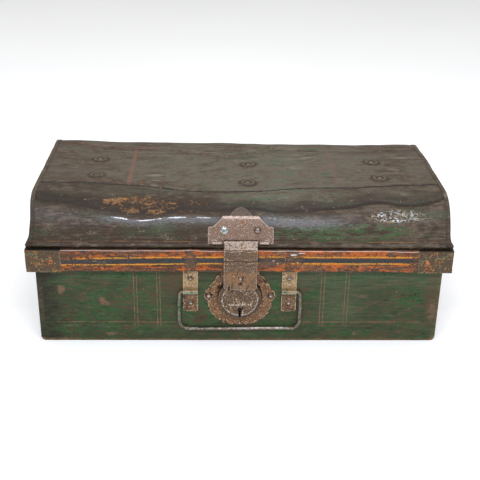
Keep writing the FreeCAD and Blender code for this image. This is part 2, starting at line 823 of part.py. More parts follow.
def lock_plate_edge():
    """The scalloped outline of the plate, from the top corner round to the middle of the foot."""
    corner_shares = (
        (0.50, 1.00),
        (0.53, 0.92),
        (0.69, 0.79),
        (0.85, 0.67),
        (0.90, 0.43),
        (0.85, 0.29),
        (0.73, 0.17),
        (0.55, 0.09),
        (0.35, 0.03),
        (0.13, 0.03),
    )
    bulge_share = 0.16
    ear_bulge_share = 0.33
    ear_index = 3
    foot = lock_height - lock_plate_drop
    height = lock_plate_drop + lock_plate_rise
    y = lock_plate_front
    points = []
    for across, up in corner_shares:
        points.append(Vector(across * lock_half_width, y, foot + up * height))
    edges = [Part.makeLine(points[0], points[1])]
    for index in range(1, len(points) - 1):
        start = points[index]
        end = points[index + 1]
        run = end - start
        out = Vector(-run.z, 0, run.x)
        if out.dot(start - Vector(0, y, lock_height)) < 0:
            out = out * -1
        share = ear_bulge_share if index == ear_index else bulge_share
        edges.append(Part.Arc(start, (start + end) * 0.5 + out * share, end).toShape())
    last = points[-1]
    mirrored = []
    for edge in edges:
        mirrored.append(mirrored_x(edge))
    tip = Part.Arc(last, Vector(0, y, foot), Vector(-last.x, y, last.z)).toShape()
    first = points[0]
    top = Part.makeLine(Vector(-first.x, y, first.z), first)
    return Part.Face(Part.Wire(Part.__sortEdges__(edges + [tip] + mirrored + [top])))


def lock_rivet_places():
    """Seats of the plate's three rivets."""
    return [
        Vector(-lock_rivet_offset, lock_plate_front, lock_height + lock_rivet_rise),
        Vector(lock_rivet_offset, lock_plate_front, lock_height + lock_rivet_rise),
        Vector(0, lock_plate_front, lock_height - lock_low_rivet_drop),
    ]


def lock_rivet_sizes():
    """The lower rivet is a small one."""
    return [large_shank_radius, large_shank_radius, small_shank_radius]


def lock_plate():
    """The scalloped back plate."""
    plate = lock_plate_edge().extrude(Vector(0, lock_plate_sheet, 0))
    for seat, radius in zip(lock_rivet_places(), lock_rivet_sizes()):
        plate = plate.cut(drill(seat, Vector(0, -1, 0), radius + fit_gap, lock_plate_sheet + sheet))
    return plate


def lock_case():
    """The round case with a soft edge, a raised ring, the keyhole and the staple's open slot."""
    lean = math.sqrt(0.5)
    inner_radius = case_radius - case_sheet
    inner_edge = case_edge_radius - case_sheet
    turn_r = case_radius - case_edge_radius
    turn_y = case_face + case_edge_radius
    edges = [
        Part.makeLine(Vector(case_radius, lock_plate_front, 0), Vector(case_radius, turn_y, 0)),
        Part.Arc(Vector(case_radius, turn_y, 0),
                 Vector(turn_r + case_edge_radius * lean, turn_y - case_edge_radius * lean, 0),
                 Vector(turn_r, case_face, 0)).toShape(),
        Part.makeLine(Vector(turn_r, case_face, 0), Vector(0, case_face, 0)),
        Part.makeLine(Vector(0, case_face, 0), Vector(0, case_inner_face, 0)),
        Part.makeLine(Vector(0, case_inner_face, 0), Vector(turn_r, case_inner_face, 0)),
        Part.Arc(Vector(turn_r, case_inner_face, 0),
                 Vector(turn_r + inner_edge * lean, turn_y - inner_edge * lean, 0),
                 Vector(inner_radius, turn_y, 0)).toShape(),
        Part.makeLine(Vector(inner_radius, turn_y, 0), Vector(inner_radius, lock_plate_front, 0)),
        Part.makeLine(Vector(inner_radius, lock_plate_front, 0), Vector(case_radius, lock_plate_front, 0)),
    ]
    case = Part.Face(Part.Wire(edges)).revolve(Vector(0, 0, 0), Vector(0, 1, 0), 360)
    out = Vector(0, -1, 0)
    ring = Part.makeTorus(case_radius - case_ring_inset, case_ring_proud, Vector(0, case_face, 0), out)
    button = Part.makeTorus(button_radius, button_wire, Vector(0, case_face, button_rise), out)
    ridge = rod_x(ridge_radius, case_face, -ridge_drop, -ridge_half_length, ridge_half_length)
    hollow = Part.makeCylinder(turn_r, -case_inner_face, Vector(0, case_inner_face, 0), Vector(0, 1, 0))
    trims = joined([ring, button, ridge]).cut(hollow)
    case = joined([case, trims])
    slot = staple_half_width + slot_gap
    case = case.cut(box(-slot, slot, case_face - over, lock_plate_front + over,
                        staple_foot_rise - slot_gap, case_radius + over))
    case = case.cut(rod_y(keyhole_radius, 0, -keyhole_drop, case_face - over, case_inner_face + over))
    case = case.cut(box(-keyhole_slot / 2, keyhole_slot / 2, case_face - over, case_inner_face + over,
                        -keyhole_drop - keyhole_length, -keyhole_drop))
    case.translate(Vector(0, 0, lock_height))
    return case


def lock_rivets():
    """Two large rivets in the ears and a small one in the foot."""
    grip = lock_plate_sheet + sheet
    makers = (large_rivet, large_rivet, small_rivet)
    rivets = []
    for seat, maker in zip(lock_rivet_places(), makers):
        rivets.append(placed(maker(grip), Vector(0, -1, 0), seat))
    return group(rivets)


def guide_places():
    """The guide pins' places on the plate."""
    return [
        Vector(-guide_offset, lock_plate_front, lock_height + guide_rise),
        Vector(-guide_offset, lock_plate_front, lock_height - guide_drop),
    ]


def lock_bolt():
    """The bolt: a slotted plate with a nose in line with the staple's eye."""
    back = eye_y + bolt_sheet / 2
    front = eye_y - bolt_sheet / 2
    nose_tip = -staple_half_width - bolt_nose_gap
    nose_z = lock_height + eye_rise
    plate = box(-bolt_left, -bolt_right, front, back, lock_height - bolt_bottom, lock_height + bolt_top)
    neck = box(-bolt_neck_left, -bolt_neck_right, front, back, lock_height + bolt_top - sheet,
               nose_z - bolt_nose_height / 2)
    nose = box(-bolt_nose_root, nose_tip, front, back, nose_z - bolt_nose_height / 2,
               nose_z + bolt_nose_height / 2)
    bolt = joined([plate, neck, nose])
    radius = guide_radius + pin_gap
    for place in guide_places():
        for shift in (0, -bolt_travel):
            bolt = bolt.cut(rod_y(radius, place.x + shift, place.z, front - over, back + over))
        bolt = bolt.cut(box(place.x - bolt_travel, place.x, front - over, back + over,
                            place.z - radius, place.z + radius))
    return bolt


def lock_guide_pins():
    """Two pins that the bolt slides along, and the spring's post."""
    end = case_inner_face + guide_end_gap
    post = Vector(-spring_post_offset, lock_plate_front, lock_height - spring_post_drop)
    pins = []
    for place in guide_places() + [post]:
        pins.append(rod_y(guide_radius, place.x, place.z, end, lock_plate_front))
    return group(pins)


def lock_spring():
    """A bowed strip under the bolt, held by an eye round its post."""
    post_x = -spring_post_offset
    z = lock_height - spring_post_drop
    inner = guide_radius + fit_gap
    outer = inner + spring_sheet
    y0 = eye_y - spring_width / 2
    y1 = eye_y + spring_width / 2
    eye = rod_y(outer, post_x, z, y0, y1)
    start = Vector(post_x, y0, z + inner)
    end = Vector(-spring_end_offset, y0, z + inner)
    crown = Vector((start.x + end.x) / 2, y0, z + inner + spring_sag)
    lift = Vector(0, 0, spring_sheet)
    edges = [
        Part.Arc(start, crown, end).toShape(),
        Part.makeLine(end, end + lift),
        Part.Arc(end + lift, crown + lift, start + lift).toShape(),
        Part.makeLine(start + lift, start),
    ]
    strip = Part.Face(Part.Wire(edges)).extrude(Vector(0, spring_width, 0))
    return joined([eye, strip]).cut(rod_y(inner, post_x, z, y0 - over, y1 + over))


def lock_key_post():
    """The post that the key turns on."""
    z = lock_height - keyhole_drop
    foot = rod_y(key_post_foot_radius, 0, z, lock_plate_front - key_post_foot, lock_plate_front)
    post = rod_y(key_post_radius, 0, z, case_face, lock_plate_front)
    return joined([foot, post])


# Handle

def handle_bail():
    """The wire bail, hanging, with its ends turned in through the loops."""
    top = bail_pivot_height
    low = top - bail_drop
    half = bail_half_width
    shoulder = bail_shoulder_radius
    corner = bail_corner_radius
    lean = 1 - math.sqrt(0.5)
    edges = []
    start = Vector(-bail_end_offset, bail_y, top)
    left_bend = Vector(-half + shoulder, bail_y, top)
    left_leg = Vector(-half, bail_y, top - shoulder)
    left_low = Vector(-half, bail_y, low + corner)
    left_run = Vector(-half + corner, bail_y, low)
    edges.append(Part.makeLine(start, left_bend))
    edges.append(Part.Arc(left_bend, Vector(-half + shoulder * lean, bail_y, top - shoulder * lean),
                          left_leg).toShape())
    edges.append(Part.makeLine(left_leg, left_low))
    edges.append(Part.Arc(left_low, Vector(-half + corner * lean, bail_y, low + corner * lean),
                          left_run).toShape())
    edges.append(Part.makeLine(left_run, Vector(0, bail_y, low)))
    spine = Part.Wire(edges)
    circle = Part.Wire(Part.makeCircle(bail_radius, start, Vector(1, 0, 0)))
    half_bail = spine.makePipeShell([circle], True, False)
    return joined([half_bail, mirrored_x(half_bail)])


def loop_rivet_places():
    """Seats of the left loop's two rivets."""
    face = -half_depth - loop_sheet
    return [
        Vector(-loop_offset, face, bail_pivot_height + loop_rivet_rise),
        Vector(-loop_offset, face, bail_pivot_height - loop_rivet_drop),
    ]


def handle_loop():
    """The left loop: a strap riveted above and below the wire, arched over it."""
    x0 = -loop_offset - loop_half_width
    x1 = -loop_offset + loop_half_width
    inner = bail_radius + pin_gap
    outer = inner + loop_sheet
    face = -half_depth - loop_sheet
    strap = rounded_plate(x0, x1, bail_pivot_height - loop_foot_drop, bail_pivot_height + loop_top_rise,
                          loop_corner_radius, face, -half_depth)
    arch = joined([
        rod_x(outer, bail_y, bail_pivot_height, x0, x1),
        box(x0, x1, bail_y, -half_depth, bail_pivot_height - outer, bail_pivot_height + outer),
    ])
    loop = joined([strap, arch.common(box(x0, x1, bail_y - outer - over, -half_depth,
                                          bail_pivot_height - outer - over,
                                          bail_pivot_height + outer + over))])
    loop = loop.cut(rod_x(inner, bail_y, bail_pivot_height, x0 - over, x1 + over))
    loop = loop.cut(box(x0 - over, x1 + over, bail_y, -half_depth + over,
                        bail_pivot_height - inner, bail_pivot_height + inner))
    for seat in loop_rivet_places():
        loop = loop.cut(drill(seat, Vector(0, -1, 0), small_shank_radius + fit_gap, loop_sheet))
    return loop


def handle_rivets():
    """Two rivets in each loop."""
    grip = loop_sheet + sheet
    rivets = []
    for seat in loop_rivet_places():
        one = placed(small_rivet(grip), Vector(0, -1, 0), seat)
        rivets += [one, mirrored_x(one)]
    return group(rivets)


# Hinges

def lid_leaf_rivet_places():
    """Seats of the left lid leaf's two rivets."""
    face = band_half_depth + hinge_sheet
    reach = hinge_half_width - hinge_rivet_inset
    height = hinge_z + lid_leaf_rivet_rise
    return [Vector(-hinge_offset - reach, face, height), Vector(-hinge_offset + reach, face, height)]


def body_leaf_rivet_places():
    """Seats of the left body leaf's two rivets."""
    face = half_depth + hinge_sheet
    reach = hinge_half_width - hinge_rivet_inset
    height = hinge_z - body_leaf_rivet_drop
    return [Vector(-hinge_offset - reach, face, height), Vector(-hinge_offset + reach, face, height)]


def hinge_lid_leaf():
    """The left hinge's lid leaf, on the back of the skirt, with the middle knuckle."""
    x = -hinge_offset
    y0 = band_half_depth
    y1 = y0 + hinge_sheet
    leaf = rounded_plate(x - hinge_half_width, x + hinge_half_width, hinge_z + lid_leaf_gap,
                         hinge_z + lid_leaf_height, hinge_corner_radius, y0, y1)
    tongue = box(x - hinge_tongue_half_width, x + hinge_tongue_half_width, y0, y1,
                 hinge_z, hinge_z + lid_leaf_gap + hinge_corner_radius)
    knuckle = rod_x(hinge_outer, hinge_y, hinge_z, x - hinge_tongue_half_width, x + hinge_tongue_half_width)
    leaf = joined([leaf, tongue, knuckle])
    leaf = leaf.cut(rod_x(hinge_pin_radius + pin_gap, hinge_y, hinge_z,
                          x - hinge_half_width - over, x + hinge_half_width + over))
    for seat in lid_leaf_rivet_places():
        leaf = leaf.cut(drill(seat, Vector(0, 1, 0), small_shank_radius + fit_gap, hinge_sheet))
    return leaf


def hinge_body_leaf():
    """The left hinge's body leaf, on the back wall, bent out to its two knuckles."""
    x = -hinge_offset
    x0 = x - hinge_half_width
    x1 = x + hinge_half_width
    y0 = half_depth
    y1 = y0 + hinge_sheet
    bend = hinge_z - body_leaf_bend_drop
    foot = hinge_z - body_leaf_foot_drop
    flat = rounded_plate(x0, x1, foot, bend, hinge_corner_radius, y0, y1)
    section = [
        (y0, bend - hinge_corner_radius - hinge_sheet),
        (y1, bend - hinge_corner_radius - hinge_sheet),
        (y1, bend - hinge_sheet),
        (hinge_y, hinge_z - hinge_outer),
        (hinge_y - hinge_outer, hinge_z),
        (y0, bend),
    ]
    rise = strip_x(section, x0, x1)
    knuckle = rod_x(hinge_outer, hinge_y, hinge_z, x0, x1)
    leaf = joined([flat, rise, knuckle])
    gap = hinge_tongue_half_width + running_gap
    room = hinge_outer + running_gap
    leaf = leaf.cut(rod_x(room, hinge_y, hinge_z, x - gap, x + gap))
    leaf = leaf.cut(rod_x(hinge_pin_radius + pin_gap, hinge_y, hinge_z, x0 - over, x1 + over))
    for seat in body_leaf_rivet_places():
        leaf = leaf.cut(drill(seat, Vector(0, 1, 0), small_shank_radius + fit_gap, hinge_sheet))
    return leaf


def hinge_pin():
    """The left hinge's pin, upset at both ends."""
    x0 = -hinge_offset - hinge_half_width - running_gap
    x1 = -hinge_offset + hinge_half_width + running_gap
    return joined([
        rod_x(hinge_pin_radius, hinge_y, hinge_z, x0 - hinge_pin_head, x1 + hinge_pin_head),
        rod_x(hinge_pin_head_radius, hinge_y, hinge_z, x0 - hinge_pin_head, x0),
        rod_x(hinge_pin_head_radius, hinge_y, hinge_z, x1, x1 + hinge_pin_head),
    ])


def paired_rivets(places, grip):
    """Rivets at the left places and their mirror images, heads at the back."""
    rivets = []
    for seat in places:
        one = placed(small_rivet(grip), Vector(0, 1, 0), seat)
        rivets += [one, mirrored_x(one)]
    return group(rivets)


def drilled(wall, places, out, radii, depth):
    """Holes through a wall at the given seats and at their mirror images."""
    for seat, radius in zip(places, radii):
        bore = drill(seat, out, radius + fit_gap, depth)
        wall = wall.cut(bore)
        if abs(seat.x) > radius:
            wall = wall.cut(mirrored_x(bore))
    return wall


def main():
    """Build and write every node."""
    os.makedirs("parts", exist_ok=True)
    front = Vector(0, -1, 0)
    back = Vector(0, 1, 0)
    pair = [small_shank_radius, small_shank_radius]

    pan = body_pan()
    front_wall = drilled(pan, lock_rivet_places(), front, lock_rivet_sizes(), lock_plate_sheet)
    save("body_front", drilled(front_wall, loop_rivet_places(), front, pair, loop_sheet))
    back_wall = mirrored_y(pan)
    save("body_back", drilled(back_wall, body_leaf_rivet_places(), back, pair, hinge_sheet))
    end = body_end()
    save("body_end_left", end)
    save("body_end_right", mirrored_x(end))
    save("body_bottom", body_bottom())
    save("rim_wire", rim_wire())

    lid = lid_sheet()
    for side, radius in ((-1, screw_shank_radius), (1, large_shank_radius)):
        seat, out = hasp_fastener_place(side)
        lid = lid.cut(drill(seat, out, radius + fit_gap, hasp_sheet + sheet))
    save("lid_sheet", lid)
    cap = lid_end()
    save("lid_end_left", cap)
    save("lid_end_right", mirrored_x(cap))

    skirt = drilled_for_clips(band_long())
    save("band_front", skirt)
    back_skirt = mirrored_y(skirt)
    save("band_back", drilled(back_skirt, lid_leaf_rivet_places(), back, pair, hinge_sheet))
    short = drilled_for_clips(band_short())
    save("band_left", short)
    save("band_right", mirrored_x(short))
    clip = band_corner()
    save("band_corner_front_left", clip)
    save("band_corner_front_right", mirrored_x(clip))
    save("band_corner_back_left", mirrored_y(clip))
    save("band_corner_back_right", mirrored_x(mirrored_y(clip)))
    save("band_rivets", band_rivets())

    save("hasp_plate", hasp_plate())
    save("hasp_screw", hasp_screw())
    save("hasp_nut", hasp_nut())
    save("hasp_rivet", hasp_rivet())
    save("hasp_pin", hasp_pin())
    save("hasp_strap", hasp_strap())
    save("hasp_staple", hasp_staple())

    save("lock_plate", lock_plate())
    save("lock_case", lock_case())
    save("lock_rivets", lock_rivets())
    save("lock_bolt", lock_bolt())
    save("lock_guide_pins", lock_guide_pins())
    save("lock_spring", lock_spring())
    save("lock_key_post", lock_key_post())

    save("handle_bail", handle_bail())
    loop = handle_loop()
    save("handle_loop_left", loop)
    save("handle_loop_right", mirrored_x(loop))
    save("handle_rivets", handle_rivets())

    lid_leaf = hinge_lid_leaf()
    body_leaf = hinge_body_leaf()
    pin = hinge_pin()
    save("hinge_lid_leaf_left", lid_leaf)
    save("hinge_lid_leaf_right", mirrored_x(lid_leaf))
    save("hinge_body_leaf_left", body_leaf)
    save("hinge_body_leaf_right", mirrored_x(body_leaf))
    save("hinge_pin_left", pin)
    save("hinge_pin_right", mirrored_x(pin))
    save("hinge_body_rivets", paired_rivets(body_leaf_rivet_places(), hinge_sheet + sheet))
    save("hinge_lid_rivets", paired_rivets(lid_leaf_rivet_places(), hinge_sheet + sheet))


main()
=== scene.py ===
import functools
import logging
import math
from collections.abc import Callable
from dataclasses import dataclass
from enum import Enum

import bmesh
import bpy
import numpy as np
from mathutils import Matrix, Vector


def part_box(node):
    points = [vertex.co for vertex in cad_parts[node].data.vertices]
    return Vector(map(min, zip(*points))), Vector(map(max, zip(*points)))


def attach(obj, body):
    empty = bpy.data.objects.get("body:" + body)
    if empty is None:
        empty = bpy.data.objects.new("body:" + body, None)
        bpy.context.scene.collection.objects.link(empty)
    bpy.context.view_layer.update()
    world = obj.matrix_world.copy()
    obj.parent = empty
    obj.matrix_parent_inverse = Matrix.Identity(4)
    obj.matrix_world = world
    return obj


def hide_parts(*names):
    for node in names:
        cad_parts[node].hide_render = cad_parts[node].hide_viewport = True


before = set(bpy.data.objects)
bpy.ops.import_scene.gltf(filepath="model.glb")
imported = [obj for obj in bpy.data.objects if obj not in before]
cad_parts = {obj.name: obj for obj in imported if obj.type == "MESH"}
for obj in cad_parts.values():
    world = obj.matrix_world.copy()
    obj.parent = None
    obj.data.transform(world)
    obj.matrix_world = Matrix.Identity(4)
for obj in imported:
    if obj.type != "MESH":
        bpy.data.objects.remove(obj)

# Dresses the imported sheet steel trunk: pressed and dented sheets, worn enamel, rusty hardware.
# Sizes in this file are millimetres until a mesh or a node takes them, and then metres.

MM = 0.001
Socket = bpy.types.NodeSocket
Value = Socket | float  # what a shader node takes: another node's output or a number
Tint = Socket | str  # a colour, as a node's output or as a hex code
log = logging.getLogger("trunk")


class Axis(Enum):
    """The frame's axes, by their place in a vector."""

    LENGTH = 0
    DEPTH = 1
    HEIGHT = 2


class Body(Enum):
    """The bodies that pieces ride on."""

    BOX = "box"
    LID = "lid"
    HASP = "hasp"
    HANDLE = "handle"
    BOLT = "bolt"


def linear(hex_code: str) -> tuple[float, float, float, float]:
    """Turns an sRGB hex colour into the linear colour that a shader takes.

    Args:
        hex_code: the colour as "#rrggbb".

    Returns:
        Red, green and blue in linear light, and an alpha of 1.
    """
    channels = [int(hex_code[i:i + 2], 16) / 255 for i in (1, 3, 5)]
    red, green, blue = (c / 12.92 if c <= 0.04045 else ((c + 0.055) / 1.055) ** 2.4 for c in channels)
    return (red, green, blue, 1.0)


def box_mm(node: str) -> tuple[np.ndarray, np.ndarray]:
    """Gives a CAD node's box.

    Args:
        node: the node's name.

    Returns:
        Its lowest and highest corners, in millimetres.
    """
    low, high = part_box(node)
    return np.array(low) / MM, np.array(high) / MM


@dataclass(frozen=True)
class Ripple:
    """Smooth seeded waves, for dents and hammer marks.

    Attributes:
        size: length of the main waves, mm.
        seed: seed of the random draws.
        waves: how many sine waves are added up.
    """

    size: float
    seed: int
    waves: int = 22

    def at(self, *places: np.ndarray) -> np.ndarray:
        """Gives the height of the waves, about -2 to 2.

        Args:
            places: one array of coordinates in mm for each axis.

        Returns:
            One height for each point.
        """
        draw = np.random.default_rng(self.seed)
        total = np.zeros_like(places[0])
        for _ in range(self.waves):
            way = draw.normal(size=len(places))
            way /= np.linalg.norm(way)
            rate = 2 * math.pi / (self.size * draw.uniform(0.7, 1.7))
            total += np.sin(rate * sum(w * p for w, p in zip(way, places)) + draw.uniform(0, 2 * math.pi))
        return total / math.sqrt(self.waves / 2)


@dataclass(frozen=True)
class Crease:
    """A line that wanders along a sheet, through given points.

    Attributes:
        points: (along, across) in mm, in order of the first.
    """

    points: tuple[tuple[float, float], ...]

    def across(self, along: np.ndarray) -> np.ndarray:
        """Gives where the line runs, as a smooth curve through its points.

        Args:
            along: places along the sheet, mm.

        Returns:
            The line's place across the sheet at each of them, mm.
        """
        knots = np.array([p[0] for p in self.points])
        values = np.array([p[1] for p in self.points])
        slopes = np.gradient(values, knots)
        i = np.clip(np.searchsorted(knots, along) - 1, 0, len(knots) - 2)
        span = knots[i + 1] - knots[i]
        t = np.clip((along - knots[i]) / span, 0, 1)
        start = (1 + 2 * t) * (1 - t) ** 2 * values[i] + t * (1 - t) ** 2 * span * slopes[i]
        return start + t * t * (3 - 2 * t) * values[i + 1] + t * t * (t - 1) * span * slopes[i + 1]

    def fades(self, along: np.ndarray, run_out: float) -> np.ndarray:
        """Gives 1 between the line's ends and fades to 0 past them.

        Args:
            along: places along the sheet, mm.
            run_out: length of the fade, mm.

        Returns:
            A share from 0 to 1 for each place.
        """
        first, last = self.points[0][0], self.points[-1][0]
        return step(along, first - run_out, first) * step(along, last + run_out, last)


@dataclass(frozen=True)
class Patch:
    """A soft-edged oval area on a sheet.

    Attributes:
        along, across: its centre, mm.
        half_along, half_across: its half sizes, mm.
        strength: its share at the centre.
    """

    along: float
    across: float
    half_along: float
    half_across: float
    strength: float = 1.0

    def cover(self, along: np.ndarray, across: np.ndarray) -> np.ndarray:
        """Gives the patch's share at each point: full inside, 0 from 1.5 half sizes on."""
        away = np.hypot((along - self.along) / self.half_along, (across - self.across) / self.half_across)
        return self.strength * step(away, 1.5, 0.5)


def step(value: np.ndarray, low: float, high: float) -> np.ndarray:
    """Eases from 0 at low to 1 at high.

    Args:
        value: the values to ease.
        low: where the result is 0.
        high: where the result is 1, above or below low.

    Returns:
        A share from 0 to 1 for each value.
    """
    t = np.clip((value - low) / (high - low), 0, 1)
    return t * t * (3 - 2 * t)


def bump(away: np.ndarray, width: float) -> np.ndarray:
    """Gives a round ridge of height 1.

    Args:
        away: distance from the ridge's line, mm.
        width: distance at which it has fallen to about a third, mm.

    Returns:
        The ridge's height at each distance.
    """
    return np.exp(-(away / width) ** 2)


def ring(along: np.ndarray, across: np.ndarray, centre: tuple[float, float], radius: float,
         width: float) -> np.ndarray:
    """Gives a round ridge of height 1 along a circle.

    Args:
        along, across: the points, mm.
        centre: the circle's centre, mm.
        radius: its radius, mm.
        width: distance from it at which the ridge has fallen to about a third, mm.

    Returns:
        The ridge's height at each point.
    """
    return bump(np.hypot(along - centre[0], across - centre[1]) - radius, width)


def strongest(*shares: np.ndarray) -> np.ndarray:
    """Takes the highest of several values at each point."""
    return functools.reduce(np.maximum, shares)


def patches(*rows: tuple[float, ...]) -> tuple[Patch, ...]:
    """Makes a patch of each row of values."""
    return tuple(Patch(*row) for row in rows)


def covered(areas: tuple[Patch, ...], along: np.ndarray, across: np.ndarray) -> np.ndarray:
    """Gives the strongest share that any of several patches has at each point."""
    return strongest(*[area.cover(along, across) for area in areas])


class Coat:
    """The node tree of one finish, built a node at a time."""

    def __init__(self, name: str) -> None:
        """Makes an empty material.

        Args:
            name: the material's name.
        """
        self.material = bpy.data.materials.new(name)
        self.material.use_nodes = True
        self.tree = self.material.node_tree
        self.tree.nodes.clear()
        self.place = self.add("TexCoord", output="Object")
        self.x, self.y, self.z = self.add("SeparateXYZ", {0: self.place}).node.outputs

    def add(self, kind: str, inputs: dict | None = None, output: int | str = 0,
            **settings: str | bool) -> Socket | None:
        """Adds one shader node with its settings, values and links.

        Args:
            kind: the node's type without "ShaderNode".
            inputs: a value or an output socket for each input, by name or index.
            output: the output that is wanted, by name or index.
            **settings: the node's own properties.

        Returns:
            The wanted output, or None for a node that has none.
        """
        made = self.tree.nodes.new("ShaderNode" + kind)
        for key, value in settings.items():
            setattr(made, key, value)
        for key, value in (inputs or {}).items():
            if isinstance(value, Socket):
                self.tree.links.new(value, made.inputs[key])
            else:
                made.inputs[key].default_value = value
        return made.outputs[output] if made.outputs else None

    def fold(self, operation: str, values: tuple[Value, ...]) -> Value:
        """Works several values together, one after another.

        Args:
            operation: the sum that is done with each pair.
            values: sockets or numbers.

        Returns:
            The result.
        """
        result = values[0]
        for value in values[1:]:
            result = self.add("Math", {0: result, 1: value}, operation=operation)
        return result

    def grain(self, size: tuple[float, float, float], detail: float = 5.0, shift: float = 0.0) -> Socket:
        """Makes a noise of a real size on Object coordinates.

        Args:
            size: size of its features along X, Y and Z, mm.
            detail: how many finer layers it has.
            shift: moves the noise, so that two of one size differ.

        Returns:
            The noise, about 0.3 to 0.7.
        """
        scale = tuple(1 / (s * MM) for s in size)
        move = (shift, shift / 2, -shift)
        vector = self.add("Mapping", {"Vector": self.place, "Location": move, "Scale": scale})
        return self.add("TexNoise", {"Vector": vector, "Scale": 1.0, "Detail": detail, "Roughness": 0.62})

    def painted(self, name: str) -> Socket:
        """Reads a mask painted on the mesh, and keeps it within 0 and 1."""
        mask = self.add("Attribute", output="Fac", attribute_name=name)
        return self.add("Clamp", {"Value": mask})

    def ragged(self, mask: Value, *grains: tuple[Value, float]) -> Socket:
        """Breaks a mask up with one grain after another.

        Args:
            mask: the mask, a socket or a number.
            *grains: each a noise round 0.5, and how far it moves the mask.

        Returns:
            The mask plus each grain's departure from its middle.
        """
        for grain, amount in grains:
            offset = self.add("Math", {0: grain, 1: amount, 2: -amount / 2}, operation="MULTIPLY_ADD")
            mask = self.add("Math", {0: mask, 1: offset}, operation="ADD")
        return mask

    def line(self, value: Value, centre: float, half_width: float, soft: float = 0.5) -> Socket:
        """Masks a straight stripe.

        Args:
            value: the coordinate that the stripe is measured on, metres.
            centre: the stripe's middle, mm.
            half_width: half its width, mm.
            soft: how far its edges fade, mm.

        Returns:
            A mask that is 1 in the stripe.
        """
        away = self.add("Math", {0: value, 1: -centre * MM}, operation="ADD")
        away = self.add("Math", {0: away}, operation="ABSOLUTE")
        ends = {"Value": away, "From Min": (half_width + soft) * MM, "From Max": half_width * MM}
        return self.add("MapRange", ends, interpolation_type="SMOOTHSTEP")

    def vein(self, grain: Socket, half_width: float) -> Socket:
        """Masks the thin winding lines along which a grain crosses its middle.

        Args:
            grain: a noise round 0.5.
            half_width: how far from its middle the noise still counts as a line.

        Returns:
            A mask that is 1 in the lines.
        """
        away = self.add("Math", {0: grain, 1: -0.5}, operation="ADD")
        away = self.add("Math", {0: away}, operation="ABSOLUTE")
        return self.ranged(away, 1.0, 0.0, half_width, 2.5 * half_width)

    def between(self, value: Value, low: float, high: float, soft: float = 2.0) -> Socket:
        """Masks the stretch of a coordinate from low to high, mm, with soft ends."""
        return self.line(value, (low + high) / 2, (high - low) / 2, soft)

    def nearest(self, places: tuple[tuple[float, float], ...]) -> Value:
        """Measures how far a point is, seen from above, from the nearest of several places.

        Args:
            places: the places as (x, y), mm.

        Returns:
            The distance, metres.
        """
        level = self.add("CombineXYZ", {0: self.x, 1: self.y})
        away = [self.add("VectorMath", {0: level, 1: (x * MM, y * MM, 0.0)}, "Value", operation="DISTANCE")
                for x, y in places]
        return self.fold("MINIMUM", away)

    def both(self, *masks: Value) -> Value:
        """Multiplies masks, so that only what they share is left."""
        return self.fold("MULTIPLY", masks)

    def either(self, *masks: Value) -> Value:
        """Takes the strongest of several masks."""
        return self.fold("MAXIMUM", masks)

    def cover(self, under: Tint, over: Tint, mask: Value, low: float = 0.45, high: float = 0.55) -> Socket:
        """Lays one colour over another.

        Args:
            under: the colour below, a socket or an sRGB hex value.
            over: the colour on top, the same.
            mask: where the top colour lies.
            low: the mask's value at which it starts.
            high: the mask's value at which it hides the colour below.

        Returns:
            The colour that shows.
        """
        ends = {"Value": mask, "From Min": low, "From Max": high}
        share = self.add("MapRange", ends, interpolation_type="SMOOTHSTEP")
        under, over = (linear(colour) if isinstance(colour, str) else colour for colour in (under, over))
        return self.add("Mix", {0: share, 6: under, 7: over}, 2, data_type="RGBA")

    def ranged(self, mask: Value, low: float, high: float, start: float = 0.0, end: float = 1.0) -> Socket:
        """Turns a mask into a number.

        Args:
            mask: the mask, or a coordinate in metres.
            low: the number at the mask's start.
            high: the number at its end.
            start, end: the mask's values there.

        Returns:
            The number, kept within low and high.
        """
        ends = {"Value": mask, "From Min": start, "From Max": end, "To Min": low, "To Max": high}
        ranged = self.add("MapRange", ends)
        return self.add("Clamp", {"Value": ranged, "Min": min(low, high), "Max": max(low, high)})

    def seal(self, colour: Socket, roughness: Value, metallic: Value, height: Value, depth: float,
             **values: float) -> bpy.types.Material:
        """Ends the tree with its shader.

        Args:
            colour: base colour.
            roughness: roughness, a socket or a number.
            metallic: metallic share, a socket or a number.
            height: height of the fine relief, 0 to 1.
            depth: real depth of that relief, mm.
            **values: other inputs of the shader, with _ for a space.

        Returns:
            The finished material.
        """
        normal = self.add("Bump", {"Height": height, "Distance": depth * MM, "Strength": 1.0})
        inputs = {"Base Color": colour, "Roughness": roughness, "Metallic": metallic, "Normal": normal}
        inputs.update({key.replace("_", " "): value for key, value in values.items()})
        self.add("OutputMaterial", {"Surface": self.add("BsdfPrincipled", inputs)})
        return self.material


